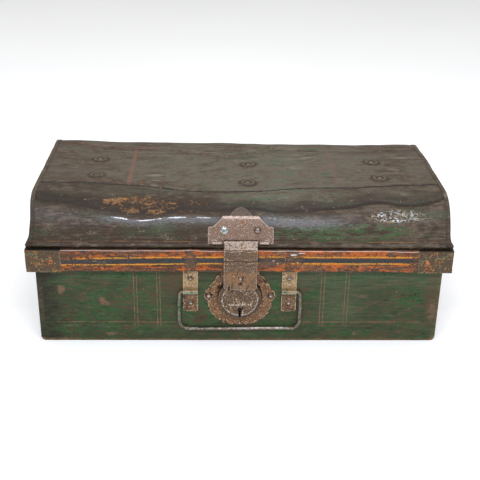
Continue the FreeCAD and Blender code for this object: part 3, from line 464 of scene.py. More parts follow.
@dataclass(frozen=True)
class GreenEnamel:
    """Brushed green enamel on sheet steel, dulled and rubbed brown along its brush marks.

    Attributes:
        green, light_green, fresh_green: the paint, where it is dusty and where it is clean.
        rubbed, dark: old varnish, and a dark tone used for drags in the paint and for painted shade.
        line_gold: thin lined decoration.
        rust, edge: where the sheet shows, and the edges rubbed down to it.
        nick, pit: pale nicks and dark pits.
        upright_lines, level_lines: places of the lines along X and Z, mm.
        upright_foot, upright_top: heights between which the upright lines run, mm.
        line_half, line_soft: half a line's width and how far its edges fade, mm.
    """

    green: str = "#333d24"
    light_green: str = "#4f5b42"
    fresh_green: str = "#2c5026"
    rubbed: str = "#493b27"
    dark: str = "#1f1f13"
    line_gold: str = "#7c5c44"
    rust: str = "#6c5240"
    edge: str = "#6b5638"
    nick: str = "#77674f"
    pit: str = "#1d1c12"
    upright_lines: tuple[float, ...] = (-158.0, -153.5, -123.5, -119.0, 121.5, 126.5, 158.0, 163.0)
    level_lines: tuple[float, float] = (32.0, 25.5)
    upright_foot: float = 25.0
    upright_top: float = 130.0
    line_half: float = 0.4
    line_soft: float = 0.7

    def material(self) -> bpy.types.Material:
        """Makes the enamel's nodes."""
        # Enamel laid on with a brush: half glossy, streaked along the wall, with darker drags between
        coat = Coat("green_brushed_enamel")
        streak = coat.grain((30.0, 30.0, 3.0), detail=8.0)
        cloud = coat.grain((52.0, 52.0, 30.0), detail=5.0, shift=7.0)
        drawn = coat.grain((24.0, 24.0, 2.2), detail=8.0, shift=13.0)
        blot = coat.grain((13.0, 13.0, 6.0), detail=7.0, shift=3.0)
        fine = coat.grain((6.0, 6.0, 1.4), detail=4.0, shift=5.0)
        speck = coat.grain((1.6, 1.6, 1.4), detail=3.0, shift=11.0)
        colour = coat.cover(self.green, self.light_green, coat.ragged(streak, (cloud, 1.0)), 0.48, 0.68)
        colour = coat.cover(colour, self.fresh_green, coat.ragged(drawn, (cloud, 1.5)), 0.48, 0.66)
        colour = coat.cover(colour, self.rubbed, coat.ragged(blot, (streak, 1.4)), 0.53, 0.7)
        colour = coat.cover(colour, self.dark, coat.ragged(drawn, (blot, -1.3)), 0.5, 1.0)
        rubbed = coat.ragged(coat.painted("rubbed"), (cloud, 2.0), (blot, 2.6))
        colour = coat.cover(colour, self.rubbed, coat.ragged(rubbed, (speck, 1.6)), 0.3, 1.1)
        dusty = coat.ragged(coat.painted("dusty"), (streak, 1.4))
        colour = coat.cover(colour, self.light_green, dusty, 0.2, 1.6)
        # Painted shade: darker at the box's left end and low on the left of the front
        wall_shade = coat.ragged(coat.painted("wall_shade"), (blot, 2.4), (drawn, 1.4))
        colour = coat.cover(colour, self.dark, wall_shade, 0.25, 1.3)
        width = (self.line_half, self.line_soft)
        uprights = coat.either(*[coat.line(coat.x, place, *width) for place in self.upright_lines])
        uprights = coat.both(uprights, coat.between(coat.z, self.upright_foot, self.upright_top, 2.0))
        upper, lower = [coat.line(coat.z, place, *width) for place in self.level_lines]
        levels = coat.either(upper, coat.both(lower, coat.ranged(coat.x, 0.8, 0.3, 0.0, 0.06)))
        lines = coat.both(coat.either(uprights, levels), coat.painted("lined"))
        gaps = coat.grain((14.0, 14.0, 10.0), detail=5.0, shift=2.0)
        broken = coat.ragged(lines, (gaps, 2.6), (speck, 1.4))
        colour = coat.cover(colour, self.line_gold, coat.both(broken, lines), 0.35, 1.4)
        worn = coat.ragged(coat.painted("worn"), (speck, 1.4), (blot, 1.4))
        colour = coat.cover(colour, self.rust, worn, 0.4, 0.9)
        edge = coat.ragged(coat.painted("edge"), (fine, 1.6), (speck, 1.0))
        colour = coat.cover(colour, self.edge, edge, 0.45, 0.9)
        nick = coat.ragged(speck, (blot, 0.9))
        colour = coat.cover(colour, self.nick, nick, 0.68, 0.8)
        pit = coat.ragged(coat.grain((1.4, 1.4, 1.2), detail=2.0, shift=17.0), (cloud, 0.8))
        colour = coat.cover(colour, self.pit, pit, 0.6, 0.76)
        roughness = coat.ranged(streak, 0.32, 0.56, 0.35, 0.65)
        height = coat.ragged(fine, (speck, 0.9), (blot, 0.9))
        return coat.seal(colour, roughness, 0.0, height, 0.4, Specular_IOR_Level=0.22)


@dataclass(frozen=True)
class LidEnamel:
    """The lid's enamel: rubbed to a brown grey on top, glossy and green low on the front.

    Attributes:
        brown, light_brown, green_cast: dirt over old varnish, and where the paint shows through.
        crown, crown_light, crown_green, crown_brown: the rubbed top.
        green, shadow: the paint left on the front and the dark shoulder.
        rust_rim, rust, rust_light: bare rusty sheet, from its dark rims to its middle.
        grime, bright, sheen: painted shade with grime in the creases and at the foot; bare ridges and
            scratches under a painted highlight; a painted sheen beside the ridge.
        fold_dark, fold_bare_and_glint: dark blotches over the crumpled patch, and pale winding lines on it,
            bare fold edges with a painted glint.
        red, gold: the faded bands on the top and the line along the foot.
        nick, pit: pale nicks and dark pits.
        rings: what shows round each boss, dark rings of painted shade and light ones of painted highlight:
            radius and half width in mm, colour, and the mask's start and end.
        bosses: places of the pressed bosses, (x, y) in mm.
    """

    brown: str = "#36271a"
    light_brown: str = "#57483b"
    green_cast: str = "#363f29"
    crown: str = "#5e5547"
    crown_light: str = "#807969"
    crown_green: str = "#4a5840"
    crown_brown: str = "#453324"
    green: str = "#2c5528"
    shadow: str = "#21160b"
    rust_rim: str = "#33210f"
    rust: str = "#74502d"
    rust_light: str = "#94683c"
    grime_and_shade: str = "#120c06"
    bare_and_highlight: str = "#cfd2d8"
    sheen: str = "#777a7c"
    fold_dark: str = "#35291c"
    fold_bare_and_glint: str = "#8f7c58"
    red: str = "#7d5144"
    gold: str = "#7f5533"
    nick: str = "#8b7a5f"
    pit: str = "#1b130a"
    rings: tuple[tuple[float, float, str, float, float], ...] = (
        (0.0, 16.0, "#463524", 0.3, 1.35), (11.4, 1.6, "#291c0f", 0.4, 1.3), (8.8, 1.0, "#7a705f", 0.6, 1.6),
        (4.6, 2.2, "#35271a", 0.4, 1.4), (0.0, 2.0, "#918673", 0.6, 1.3))
    bosses: tuple[tuple[float, float], ...] = ()

    def material(self) -> bpy.types.Material:
        """Makes the enamel's nodes."""
        # Enamel under years of handling: a waxy brown film, glossy where rubbed and dull where dusty
        coat = Coat("brown_rubbed_enamel")
        streak = coat.grain((36.0, 8.0, 2.6), detail=8.0)
        cloud = coat.grain((70.0, 44.0, 22.0), detail=5.0, shift=5.0)
        drawn = coat.grain((44.0, 5.0, 2.4), detail=8.0, shift=13.0)
        blot = coat.grain((14.0, 11.0, 6.0), detail=6.0, shift=2.0)
        fine = coat.grain((6.0, 3.2, 1.6), detail=4.0, shift=7.0)
        speck = coat.grain((1.6, 1.8, 1.3), detail=3.0, shift=9.0)
        paler = coat.ranged(coat.x, 0.0, 0.13, 0.04, 0.24)
        worn = coat.add("Math", {0: coat.ragged(streak, (blot, 1.0)), 1: paler}, operation="ADD")
        colour = coat.cover(self.brown, self.light_brown, worn, 0.48, 0.7)
        colour = coat.cover(colour, self.green_cast, coat.ragged(cloud, (fine, 1.0)), 0.53, 0.7)
        top = coat.cover(self.crown, self.crown_light, coat.ragged(streak, (cloud, 1.3)), 0.52, 0.74)
        top = coat.cover(top, self.crown_green, coat.ragged(cloud, (streak, 1.1)), 0.5, 0.66)
        brown = coat.ragged(coat.painted("brown"), (cloud, 5.4), (drawn, 2.4))
        top = coat.cover(top, self.crown_brown, brown, 0.25, 1.2)
        top = coat.cover(top, self.crown_light, coat.ragged(cloud, (streak, -1.1)), 0.5, 0.95)
        top = coat.cover(top, self.crown_light, coat.ragged(drawn, (fine, -1.0)), 0.6, 0.9)
        top = coat.cover(top, self.crown_brown, coat.ragged(fine, (blot, 1.2)), 0.58, 0.78)
        crown = coat.ragged(coat.painted("crown"), (cloud, 2.0), (streak, 1.6))
        colour = coat.cover(colour, top, crown, 0.2, 1.0)
        brushed = coat.ranged(coat.ragged(drawn, (fine, 0.9), (blot, 0.9)), 0.0, 1.0, 0.42, 0.62)
        greens = coat.both(brushed, coat.ranged(coat.painted("green"), 0.0, 1.0, 0.02, 0.75))
        colour = coat.cover(colour, self.green, greens, 0.0, 1.35)
        shade = coat.ragged(coat.painted("shade"), (blot, 1.6), (speck, 0.8))
        colour = coat.cover(colour, self.shadow, shade, 0.1, 1.2)
        red = coat.ragged(coat.painted("red_line"), (fine, 1.6), (streak, 1.2))
        colour = coat.cover(colour, self.red, red, 0.3, 1.15)
        flake = coat.grain((5.0, 4.0, 3.0), detail=5.0, shift=21.0)
        rust = coat.ragged(coat.painted("rust"), (flake, 3.6), (coat.ragged(speck, (blot, 1.6)), 2.0))
        rust = coat.both(rust, coat.ranged(coat.painted("rust"), 0.0, 1.0, 0.02, 0.35))
        colour = coat.cover(colour, self.rust_rim, rust, 0.2, 0.65)
        colour = coat.cover(colour, self.rust, rust, 0.55, 1.15)
        colour = coat.cover(colour, self.rust_light, rust, 1.05, 1.7)
        colour = self.boss_rings(coat, colour, fine, speck)
        # Painted sheen: the reflection of the front light, laid beside the ridge
        sheen = coat.ragged(coat.painted("sheen"), (fine, 0.9), (speck, 0.5))
        colour = coat.cover(colour, self.sheen, sheen, 0.1, 1.3)
        # The crumpled patch: dark blotches, pale winding lines of bare fold edges with a painted glint, and
        # painted glints in the bright colour
        crumple = coat.painted("crumple")
        fold = coat.vein(coat.grain((9.0, 6.0, 6.0), detail=1.0, shift=27.0), 0.018)
        gleam = coat.vein(coat.grain((12.0, 5.0, 5.0), detail=1.5, shift=31.0), 0.014)
        hollows = coat.both(crumple, coat.ranged(blot, 0.0, 1.0, 0.45, 0.6))
        colour = coat.cover(colour, self.fold_dark, hollows, 0.1, 1.2)
        edges = coat.both(crumple, coat.ragged(fold, (speck, 0.8)))
        colour = coat.cover(colour, self.fold_bare_and_glint, edges, 0.25, 1.0)
        glints = coat.both(crumple, coat.ragged(gleam, (blot, 2.6)))
        colour = coat.cover(colour, self.bare_and_highlight, glints, 0.5, 1.35)
        # Painted shade with grime: dark lines in the creases and at the foot
        grime_and_shade = coat.ragged(coat.painted("grime_and_shade"), (fine, 0.8))
        colour = coat.cover(colour, self.grime_and_shade, grime_and_shade, 0.3, 0.95)
        gold = coat.both(coat.painted("gold_line"), coat.ragged(1.0, (coat.grain((24.0, 9.0, 9.0)), 2.4)))
        colour = coat.cover(colour, self.gold, gold, 0.45, 1.15)
        # Painted highlight along the ridge, the lit side of the front crease and the bead, over bare rubbed
        # ridges and scratches
        bare_and_highlight = coat.ragged(coat.painted("bare_and_highlight"), (speck, 1.6), (fine, 1.6))
        bare_and_highlight = coat.both(bare_and_highlight, coat.ranged(coat.painted("bare_and_highlight"), 0.0, 1.4, 0.05, 0.6))
        colour = coat.cover(colour, self.bare_and_highlight, bare_and_highlight, 0.4, 1.2)
        colour = coat.cover(colour, self.nick, coat.ragged(speck, (blot, 1.0)), 0.66, 0.8)
        pit = coat.ragged(coat.grain((1.4, 2.0, 1.2), detail=2.0, shift=17.0), (blot, 0.8))
        colour = coat.cover(colour, self.pit, pit, 0.62, 0.8)
        dull = coat.either(coat.painted("crown"), coat.painted("rust"), coat.painted("shade"))
        dull = coat.ragged(dull, (streak, 0.8))
        polish = coat.ranged(coat.painted("sheen"), 0.0, -0.16)
        roughness = coat.add("Math", {0: coat.ranged(dull, 0.34, 0.56), 1: polish}, operation="ADD")
        metallic = coat.ranged(bare_and_highlight, 0.0, 0.6, 0.5, 1.1)
        height = coat.ragged(fine, (speck, 1.2), (coat.ragged(coat.painted("rust"), (blot, 1.0)), 0.6))
        return coat.seal(colour, roughness, metallic, height, 0.5, Specular_IOR_Level=0.32)

    def boss_rings(self, coat: Coat, colour: Socket, fine: Socket, speck: Socket) -> Socket:
        """Paints dark and light rings round the pressed bosses: painted shade on their slopes, and a painted
        highlight on their rims and middles that also stands for rubbing.

        Args:
            coat: the node tree.
            colour: the colour so far.
            fine, speck: grains that break the rings up.

        Returns:
            The colour with the rings on it.
        """
        away = coat.nearest(self.bosses)
        for radius, half_width, hex_code, low, high in self.rings:
            mark = coat.ragged(coat.line(away, radius, half_width, 2.4), (fine, 1.8), (speck, 1.2))
            colour = coat.cover(colour, hex_code, mark, low, high)
        return colour


@dataclass(frozen=True)
class StripedEnamel:
    """The skirt's lined enamel: orange with two yellow lines and a navy stripe, chipped to dark steel.

    Attributes:
        orange, dull_orange, deep_orange, yellow, navy: the stripes.
        steel, rubbed_steel, bright: the sheet under the paint, from dark to bare bright steel, with a painted
            highlight along the rolled top edge and painted glints on the dents.
        nick, pit: pale nicks and dark pits.
        yellow_lines, yellow_half: heights and half width of the yellow lines, mm.
        navy_low, navy_high: the navy stripe between them, mm.
        sway: how far the stripes wander up and down, mm.
        droop, droop_ends: how far they sag towards the left end, and where that ends and starts, mm.
    """

    orange: str = "#ab5619"
    dull_orange: str = "#7f4a2c"
    deep_orange: str = "#4c2b14"
    yellow: str = "#bd8a28"
    navy: str = "#2b2e30"
    steel: str = "#44352a"
    rubbed_steel: str = "#6d5442"
    bare_and_highlight: str = "#c9c6c2"
    nick: str = "#a58a63"
    pit: str = "#241a12"
    yellow_lines: tuple[float, float] = (147.2, 136.5)
    yellow_half: float = 0.6
    navy_low: float = 138.6
    navy_high: float = 144.8
    sway: float = 2.4
    droop: float = 2.8
    droop_ends: tuple[float, float] = (-240.0, -20.0)

    def material(self) -> bpy.types.Material:
        """Makes the enamel's nodes."""
        # Thin glossy lining paint: clean stripes that wander a little and chip off down to dark sheet
        coat = Coat("striped_lining_enamel")
        streak = coat.grain((22.0, 22.0, 1.8), detail=7.0)
        cloud = coat.grain((40.0, 40.0, 12.0), detail=4.0, shift=6.0)
        chip = coat.grain((7.0, 7.0, 3.4), detail=6.0, shift=4.0)
        speck = coat.grain((1.7, 1.7, 1.5), detail=3.0, shift=8.0)
        wander = coat.grain((60.0, 60.0, 60.0), detail=2.0, shift=1.0)
        level = coat.ragged(coat.z, (wander, self.sway * MM))
        lowest, highest = self.droop_ends
        droop = coat.ranged(coat.x, self.droop * MM, 0.0, lowest * MM, highest * MM)
        level = coat.add("Math", {0: level, 1: droop}, operation="ADD")
        fading = coat.ranged(coat.x, 0.035, -0.09, -0.1, 0.2)
        deep = coat.add("Math", {0: coat.ragged(streak, (cloud, 1.2)), 1: fading}, operation="ADD")
        colour = coat.cover(self.orange, self.deep_orange, deep, 0.42, 0.6)
        colour = coat.cover(colour, self.dull_orange, coat.ragged(cloud, (streak, -1.4)), 0.5, 0.66)
        colour = coat.cover(colour, self.deep_orange, coat.ragged(chip, (speck, 1.2)), 0.52, 0.66)
        navy = coat.between(level, self.navy_low, self.navy_high, 0.5)
        colour = coat.cover(colour, self.navy, coat.ragged(navy, (streak, 1.2), (speck, 1.2)), 0.4, 0.62)
        for height in self.yellow_lines:
            yellow = coat.line(level, height, self.yellow_half, 0.5)
            colour = coat.cover(colour, self.yellow, coat.ragged(yellow, (streak, 1.6)), 0.4, 0.95)
        wear = coat.ragged(coat.painted("worn"), (chip, 2.6), (streak, 2.2), (speck, 1.8))
        colour = coat.cover(colour, self.steel, wear, 0.4, 0.75)
        colour = coat.cover(colour, self.rubbed_steel, coat.both(wear, speck), 0.46, 0.66)
        colour = coat.cover(colour, self.pit, coat.ragged(speck, (chip, 1.0)), 0.58, 0.72)
        pale = coat.ragged(coat.grain((1.5, 1.5, 1.2), detail=2.0, shift=15.0), (cloud, 0.8))
        colour = coat.cover(colour, self.nick, pale, 0.66, 0.76)
        # Painted highlight along the rolled top edge, and bare chips with painted glints, in the bright
        # colour
        edge = coat.ragged(coat.painted("edge"), (speck, 0.6), (streak, 0.5))
        bare_chips_and_glints = coat.either(edge, coat.ragged(coat.painted("bare_chips_and_glints"), (chip, 1.2)))
        colour = coat.cover(colour, self.bare_and_highlight, bare_chips_and_glints, 0.5, 0.95)
        metallic = coat.ranged(bare_chips_and_glints, 0.0, 0.6, 0.55, 0.85)
        roughness = coat.ranged(coat.ragged(wear, (speck, 0.5)), 0.3, 0.55)
        height = coat.ragged(coat.ranged(wear, 0.6, 0.0, 0.4, 0.8), (speck, 0.5))
        return coat.seal(colour, roughness, metallic, height, 0.25, Specular_IOR_Level=0.25)


@dataclass(frozen=True)
class OldSteel:
    """Sheet steel with a rust patina: brown skin, orange bloom, rubbed edges.

    Attributes:
        name: the material's name, after the real finish.
        dark, middle, light: the patina's three browns, from hollow to rubbed.
        bloom: fresh rust or old varnish in patches.
        edge: rubbed edges, and the colour of the painted highlights.
        grain_size: size of the mottling, mm.
        mottle: how strongly the light brown shows, 0 to 1.
        metallic: share of bare metal.
        roughness: roughness of the patina.
        depth: depth of its pitting, mm.
        remains: colour of paint left on it, or empty.
        pit: the dark pits.
        dirt_and_shade: dirt in its corners, and painted shade under edges, in hollows and in holes.
    """

    name: str
    dark: str
    middle: str
    light: str
    bloom: str
    edge: str
    grain_size: float = 2.2
    mottle: float = 0.5
    metallic: float = 0.35
    roughness: float = 0.5
    depth: float = 0.25
    remains: str = ""
    pit: str = "#2a1d13"
    dirt_and_shade: str = "#1b1510"

    def material(self) -> bpy.types.Material:
        """Makes the patina's nodes."""
        coat = Coat(self.name)
        size = self.grain_size
        mottling = coat.grain((size, size, size), detail=4.0)
        cloud = coat.grain((size * 5, size * 5, size * 5), detail=6.0, shift=3.0)
        scratch = coat.grain((size * 4, size * 4, size * 0.6), detail=4.0, shift=6.0)
        speck = coat.grain((1.3, 1.3, 1.3), detail=2.0, shift=9.0)
        colour = coat.cover(self.middle, self.dark, coat.ragged(cloud, (mottling, 1.3)), 0.45, 0.59)
        lights = coat.ragged(mottling, (cloud, 1.0))
        colour = coat.cover(colour, self.light, lights, 0.61 - 0.1 * self.mottle, 0.73 - 0.1 * self.mottle)
        colour = coat.cover(colour, self.bloom, coat.ragged(scratch, (cloud, 1.2)), 0.57, 0.7)
        rust = coat.ragged(coat.painted("rust"), (cloud, 1.6))
        colour = coat.cover(colour, self.bloom, rust, 0.4, 1.0)
        if self.remains:
            remains = coat.ragged(coat.painted("paint"), (cloud, 2.0), (speck, 1.0))
            colour = coat.cover(colour, self.remains, remains, 0.5, 0.9)
        # Rubbed edges, and the painted highlights on crowns, bends and bars, take the edge colour
        edge = coat.either(coat.painted("edge"), coat.painted("wear_and_highlight"))
        edge = coat.ragged(edge, (mottling, 2.0), (speck, 1.0))
        colour = coat.cover(colour, self.edge, edge, 0.65, 1.25)
        colour = coat.cover(colour, self.edge, coat.ragged(speck, (mottling, 0.8)), 0.61, 0.73)
        pits = coat.ragged(coat.grain((1.8, 1.8, 1.8), detail=3.0, shift=13.0), (cloud, 0.9))
        pits = coat.both(pits, coat.ranged(coat.painted("wear_and_highlight"), 1.0, 0.72))
        colour = coat.cover(colour, self.pit, pits, 0.56, 0.68)
        # Dark dirt, and painted shade under edges and bends, in hollows and in holes
        dirt_and_shade = coat.ragged(coat.painted("dirt_and_shade"), (mottling, 0.8))
        colour = coat.cover(colour, self.dirt_and_shade, dirt_and_shade, 0.35, 0.95)
        metallic = coat.ranged(edge, self.metallic, 0.7, 0.55, 1.1)
        roughness = coat.ranged(mottling, self.roughness - 0.12, self.roughness + 0.14, 0.35, 0.65)
        height = coat.ragged(mottling, (cloud, 0.7), (pits, -0.6))
        return coat.seal(colour, roughness, metallic, height, self.depth, Specular_IOR_Level=0.35)


class Finish(Enum):
    """The patinas that the hardware and the worn pieces have."""

    # Hot-rolled steel plate, handled and rusted: a violet brown skin with pale rubbed specks
    HASP = OldSteel("rusted_steel_hasp", "#503a2f", "#7b6353", "#aa9281", "#8a5e41", "#bdada2",
                    grain_size=1.9, mottle=0.9, metallic=0.2, pit="#584437")
    # The strap hangs where hands grip it, so it is scratched, and golden brown low down
    STRAP = OldSteel("rusted_steel_strap", "#3b2a1d", "#644d3a", "#8d745a", "#8b6542", "#b5a598",
                     grain_size=2.8, metallic=0.2)
    # Pressed plate hammered all over, with old lacquer, so it is golden and pitted
    LOCK_PLATE = OldSteel("lacquered_steel_plate", "#452c1b", "#6d4d33", "#b18f65", "#83502e", "#bfa587",
                          grain_size=2.4, mottle=0.95, metallic=0.15, depth=0.6, pit="#1e110a")
    # The lock's drawn case: dark, with lacquer left in patches
    LOCK_CASE = OldSteel("lacquered_steel_case", "#2e2219", "#574230", "#997b58", "#7b5f43", "#c9bcaa",
                         grain_size=3.0, mottle=0.9, metallic=0.2, roughness=0.44, depth=0.3)
    # Bracket strip painted with the box and rubbed through to tan and gold
    LOOP = OldSteel("rubbed_steel_bracket", "#533c25", "#92744f", "#bfa274", "#5c3e23", "#bfae8e",
                    grain_size=2.4, mottle=0.85, metallic=0.1, roughness=0.45, remains="#7b8d76")
    # Corner clips: brown olive, with scratches in green, orange and gold
    CLIP = OldSteel("rubbed_enamel_clip", "#2b1e13", "#483723", "#826836", "#935020", "#8a7e62",
                    grain_size=2.8, mottle=0.8, metallic=0.05, roughness=0.45, depth=0.3, remains="#46604a")
    # Drawn wire, polished by hands along its top, which also carries a painted highlight, and left painted on
    # its legs
    BAIL = OldSteel("worn_steel_wire", "#40362b", "#70645a", "#a0958c", "#77603d", "#c4bcb4",
                    grain_size=2.6, mottle=0.7, metallic=0.4, roughness=0.36, depth=0.12, remains="#53694a")
    # Rivets and pins: domed heads, brown at their rims, with a painted highlight on the crowns of those on
    # the front that also stands for rubbing
    RIVET = OldSteel("worn_steel_rivet", "#493a30", "#6a5b51", "#8d8077", "#7a5537", "#b9aea6",
                     grain_size=2.4, mottle=0.4, metallic=0.6, roughness=0.3, depth=0.05, pit="#4d3e33")
    # The rivets of the corner clips still carry the band's orange
    CLIP_RIVET = OldSteel("painted_steel_rivet", "#6b3c1c", "#b0602a", "#d08a45", "#8a4a22", "#c4b49c",
                          grain_size=1.6, mottle=0.6, metallic=0.1)
    # Zinc plating, with dirt in the recess and a few dark specks
    ZINC = OldSteel("zinc_plated_steel", "#878d8b", "#b3bab8", "#d5dad9", "#9c9a88", "#e6e9e8",
                    grain_size=1.6, mottle=0.7, metallic=0.85, roughness=0.3, depth=0.1, pit="#55574f")
    # Plain steel out of the weather: the rim wire, the bolt and the hinge pins
    BARE = OldSteel("dull_bare_steel", "#5c554e", "#8b8379", "#aaa298", "#79604a", "#b9b2a8",
                    grain_size=1.8, mottle=0.4, metallic=0.75, roughness=0.4, depth=0.1)
    # Hinges at the back, left rusty and dark
    HINGE = OldSteel("rusted_steel_hinge", "#3d3029", "#5f4c41", "#86705f", "#7a5135", "#9a8d82",
                     grain_size=2.6)


Enamel = GreenEnamel | LidEnamel | StripedEnamel


@functools.cache
def mixed(finish: Finish | Enamel) -> bpy.types.Material:
    """Makes a finish's material the first time that it is asked for, and gives the same one after that.

    Args:
        finish: a member of Finish, or one of the enamels.

    Returns:
        The material.
    """
    recipe = finish.value if isinstance(finish, Finish) else finish
    return recipe.material()


class Workpiece:
    """A mesh on the bench: cut up, bent, masked and then hung in the trunk."""

    def __init__(self) -> None:
        """Starts with an empty mesh."""
        self.bm = bmesh.new()

    @classmethod
    def copy_of(cls, node: str, joined: bool = True) -> "Workpiece":
        """Copies a CAD node's mesh and merges it.

        Args:
            node: the node's name.
            joined: whether its flat areas are joined up into single faces.

        Returns:
            The copy.
        """
        piece = cls()
        bm = piece.bm
        bm.from_mesh(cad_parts[node].data)
        bmesh.ops.remove_doubles(bm, verts=bm.verts, dist=0.004 * MM)
        if joined:
            bmesh.ops.dissolve_limit(bm, angle_limit=math.radians(0.6), verts=bm.verts, edges=bm.edges)
        return piece

    @classmethod
    def sheet(cls, columns: int, rows: int) -> "Workpiece":
        """Starts a flat sheet, from -1 to 1 metre both ways.

        Args:
            columns, rows: how many quads it has along X and Y.

        Returns:
            The sheet.
        """
        piece = cls()
        bmesh.ops.create_grid(piece.bm, x_segments=columns, y_segments=rows, size=1.0)
        return piece

    def points(self) -> np.ndarray:
        """Gives the vertices as three rows: x, y and z, mm."""
        return np.array([v.co for v in self.bm.verts], float).reshape(-1, 3).T / MM

    def move(self, x: np.ndarray, y: np.ndarray, z: np.ndarray) -> None:
        """Puts the vertices at new places, mm."""
        for vert, place in zip(self.bm.verts, np.stack([x, y, z], axis=1) * MM):
            vert.co = place

    def mask(self, name: str, *shares: np.ndarray | float) -> None:
        """Stores a mask on the vertices.

        Args:
            name: the mask's name.
            *shares: its value at each vertex. Of several, the strongest counts.
        """
        layer = self.bm.verts.layers.float.new(name)
        share = np.broadcast_to(functools.reduce(np.maximum, shares), len(self.bm.verts))
        for vert, value in zip(self.bm.verts, share):
            vert[layer] = float(value)

    def slice(self, pitch: float, *axes: Axis) -> None:
        """Cuts the mesh across one axis after another at even steps, so that it can be bent and masked.

        Args:
            pitch: distance between cuts, mm.
            *axes: the axes that the cuts are square to.
        """
        for axis in axes:
            places = self.points()[axis.value]
            count = max(2, round(np.ptp(places) / pitch))
            normal = Vector([float(i == axis.value) for i in range(3)])
            for i in range(1, count):
                cut = normal * (places.min() + np.ptp(places) * i / count) * MM
                geometry = self.bm.verts[:] + self.bm.edges[:] + self.bm.faces[:]
                bmesh.ops.bisect_plane(self.bm, geom=geometry, dist=0.001 * MM, plane_co=cut, plane_no=normal)

    def rub_edges(self, width: float, outer: Callable[[bmesh.types.BMFace], bool]) -> None:
        """Marks a narrow border round a plate's outer face, where the edge is rubbed.

        Args:
            width: the border's width, mm.
            outer: says whether a face belongs to the plate's outer side.
        """
        layer = self.bm.faces.layers.float.new("edge")
        faces = [f for f in self.bm.faces if outer(f)]
        border = bmesh.ops.inset_region(self.bm, faces=faces, thickness=width * MM, depth=0.0,
                                        use_boundary=True, use_even_offset=True)
        for face in border["faces"]:
            face[layer] = 1.0

    def face(self, way: Vector) -> None:
        """Turns the faces of a sheet so that on the whole they look one way.

        Args:
            way: the way that its outside looks.
        """
        bmesh.ops.recalc_face_normals(self.bm, faces=self.bm.faces)
        if sum((f.normal.dot(way) for f in self.bm.faces), 0.0) < 0:
            bmesh.ops.reverse_faces(self.bm, faces=self.bm.faces)

    def hang(self, name: str, body: Body, node: str, slot: str, finish: Finish | Enamel,
             smooth: float = 32.0, sheet: float = 0.0) -> None:
        """Turns the mesh into a piece that rides on a body and stands for a CAD node, and frees it.

        Args:
            name: the piece's name.
            body: the body that it rides on.
            node: the CAD node that it replaces.
            slot: the record's material slot, not used.
            finish: its finish.
            smooth: edges that turn by more than this stay sharp, degrees.
            sheet: thickness that it is given inwards, mm, or 0 where it has its own.
        """
        mesh = bpy.data.meshes.new(name)
        self.bm.to_mesh(mesh)
        self.bm.free()
        mesh.shade_smooth()
        mesh.set_sharp_from_angle(angle=math.radians(smooth))
        mesh.materials.append(mixed(finish))
        piece = bpy.data.objects.new(name, mesh)
        bpy.context.scene.collection.objects.link(piece)
        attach(piece, body.value)
        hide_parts(node)
        if sheet:
            shell = piece.modifiers.new("sheet", "SOLIDIFY")
            shell.thickness = sheet * MM
            shell.offset = -1.0
        log.info("%s rides on %s and has %d faces", name, body.value, len(mesh.polygons))


def dress(finish: Finish, *nodes: str) -> None:
    """Gives CAD nodes that stay as they are a better material.

    Args:
        finish: their finish.
        *nodes: their names.
    """
    for node in nodes:
        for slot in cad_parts[node].material_slots:
            slot.material = mixed(finish)
        log.info("%s keeps its CAD shape", node)


def rub_and_highlight_heads(node: str, body: Body, heads: tuple[tuple[float, float], ...], crown: float = 2.7) -> None:
    """Lightens the crowns of the rivets in a CAD node on the front, a painted highlight that also stands for
    rubbing, and darkens their rims.

    Args:
        node: the rivets' node.
        body: the body that they ride on.
        heads: the middles of the heads, (x, z) in mm.
        crown: how far from its middle a head is lightened, mm.
    """
    piece = Workpiece.copy_of(node)
    x, _, z = piece.points()
    away = np.min([np.hypot(x - along, z - height) for along, height in heads], axis=0)
    piece.mask("wear_and_highlight", 1.2 * step(away, crown, 0.37 * crown))
    piece.mask("dirt_and_shade", 0.65 * step(away, 1.07 * crown, 1.37 * crown))
    piece.hang("rubbed_" + node, body, node, "rusted_steel", Finish.RIVET, 60.0)


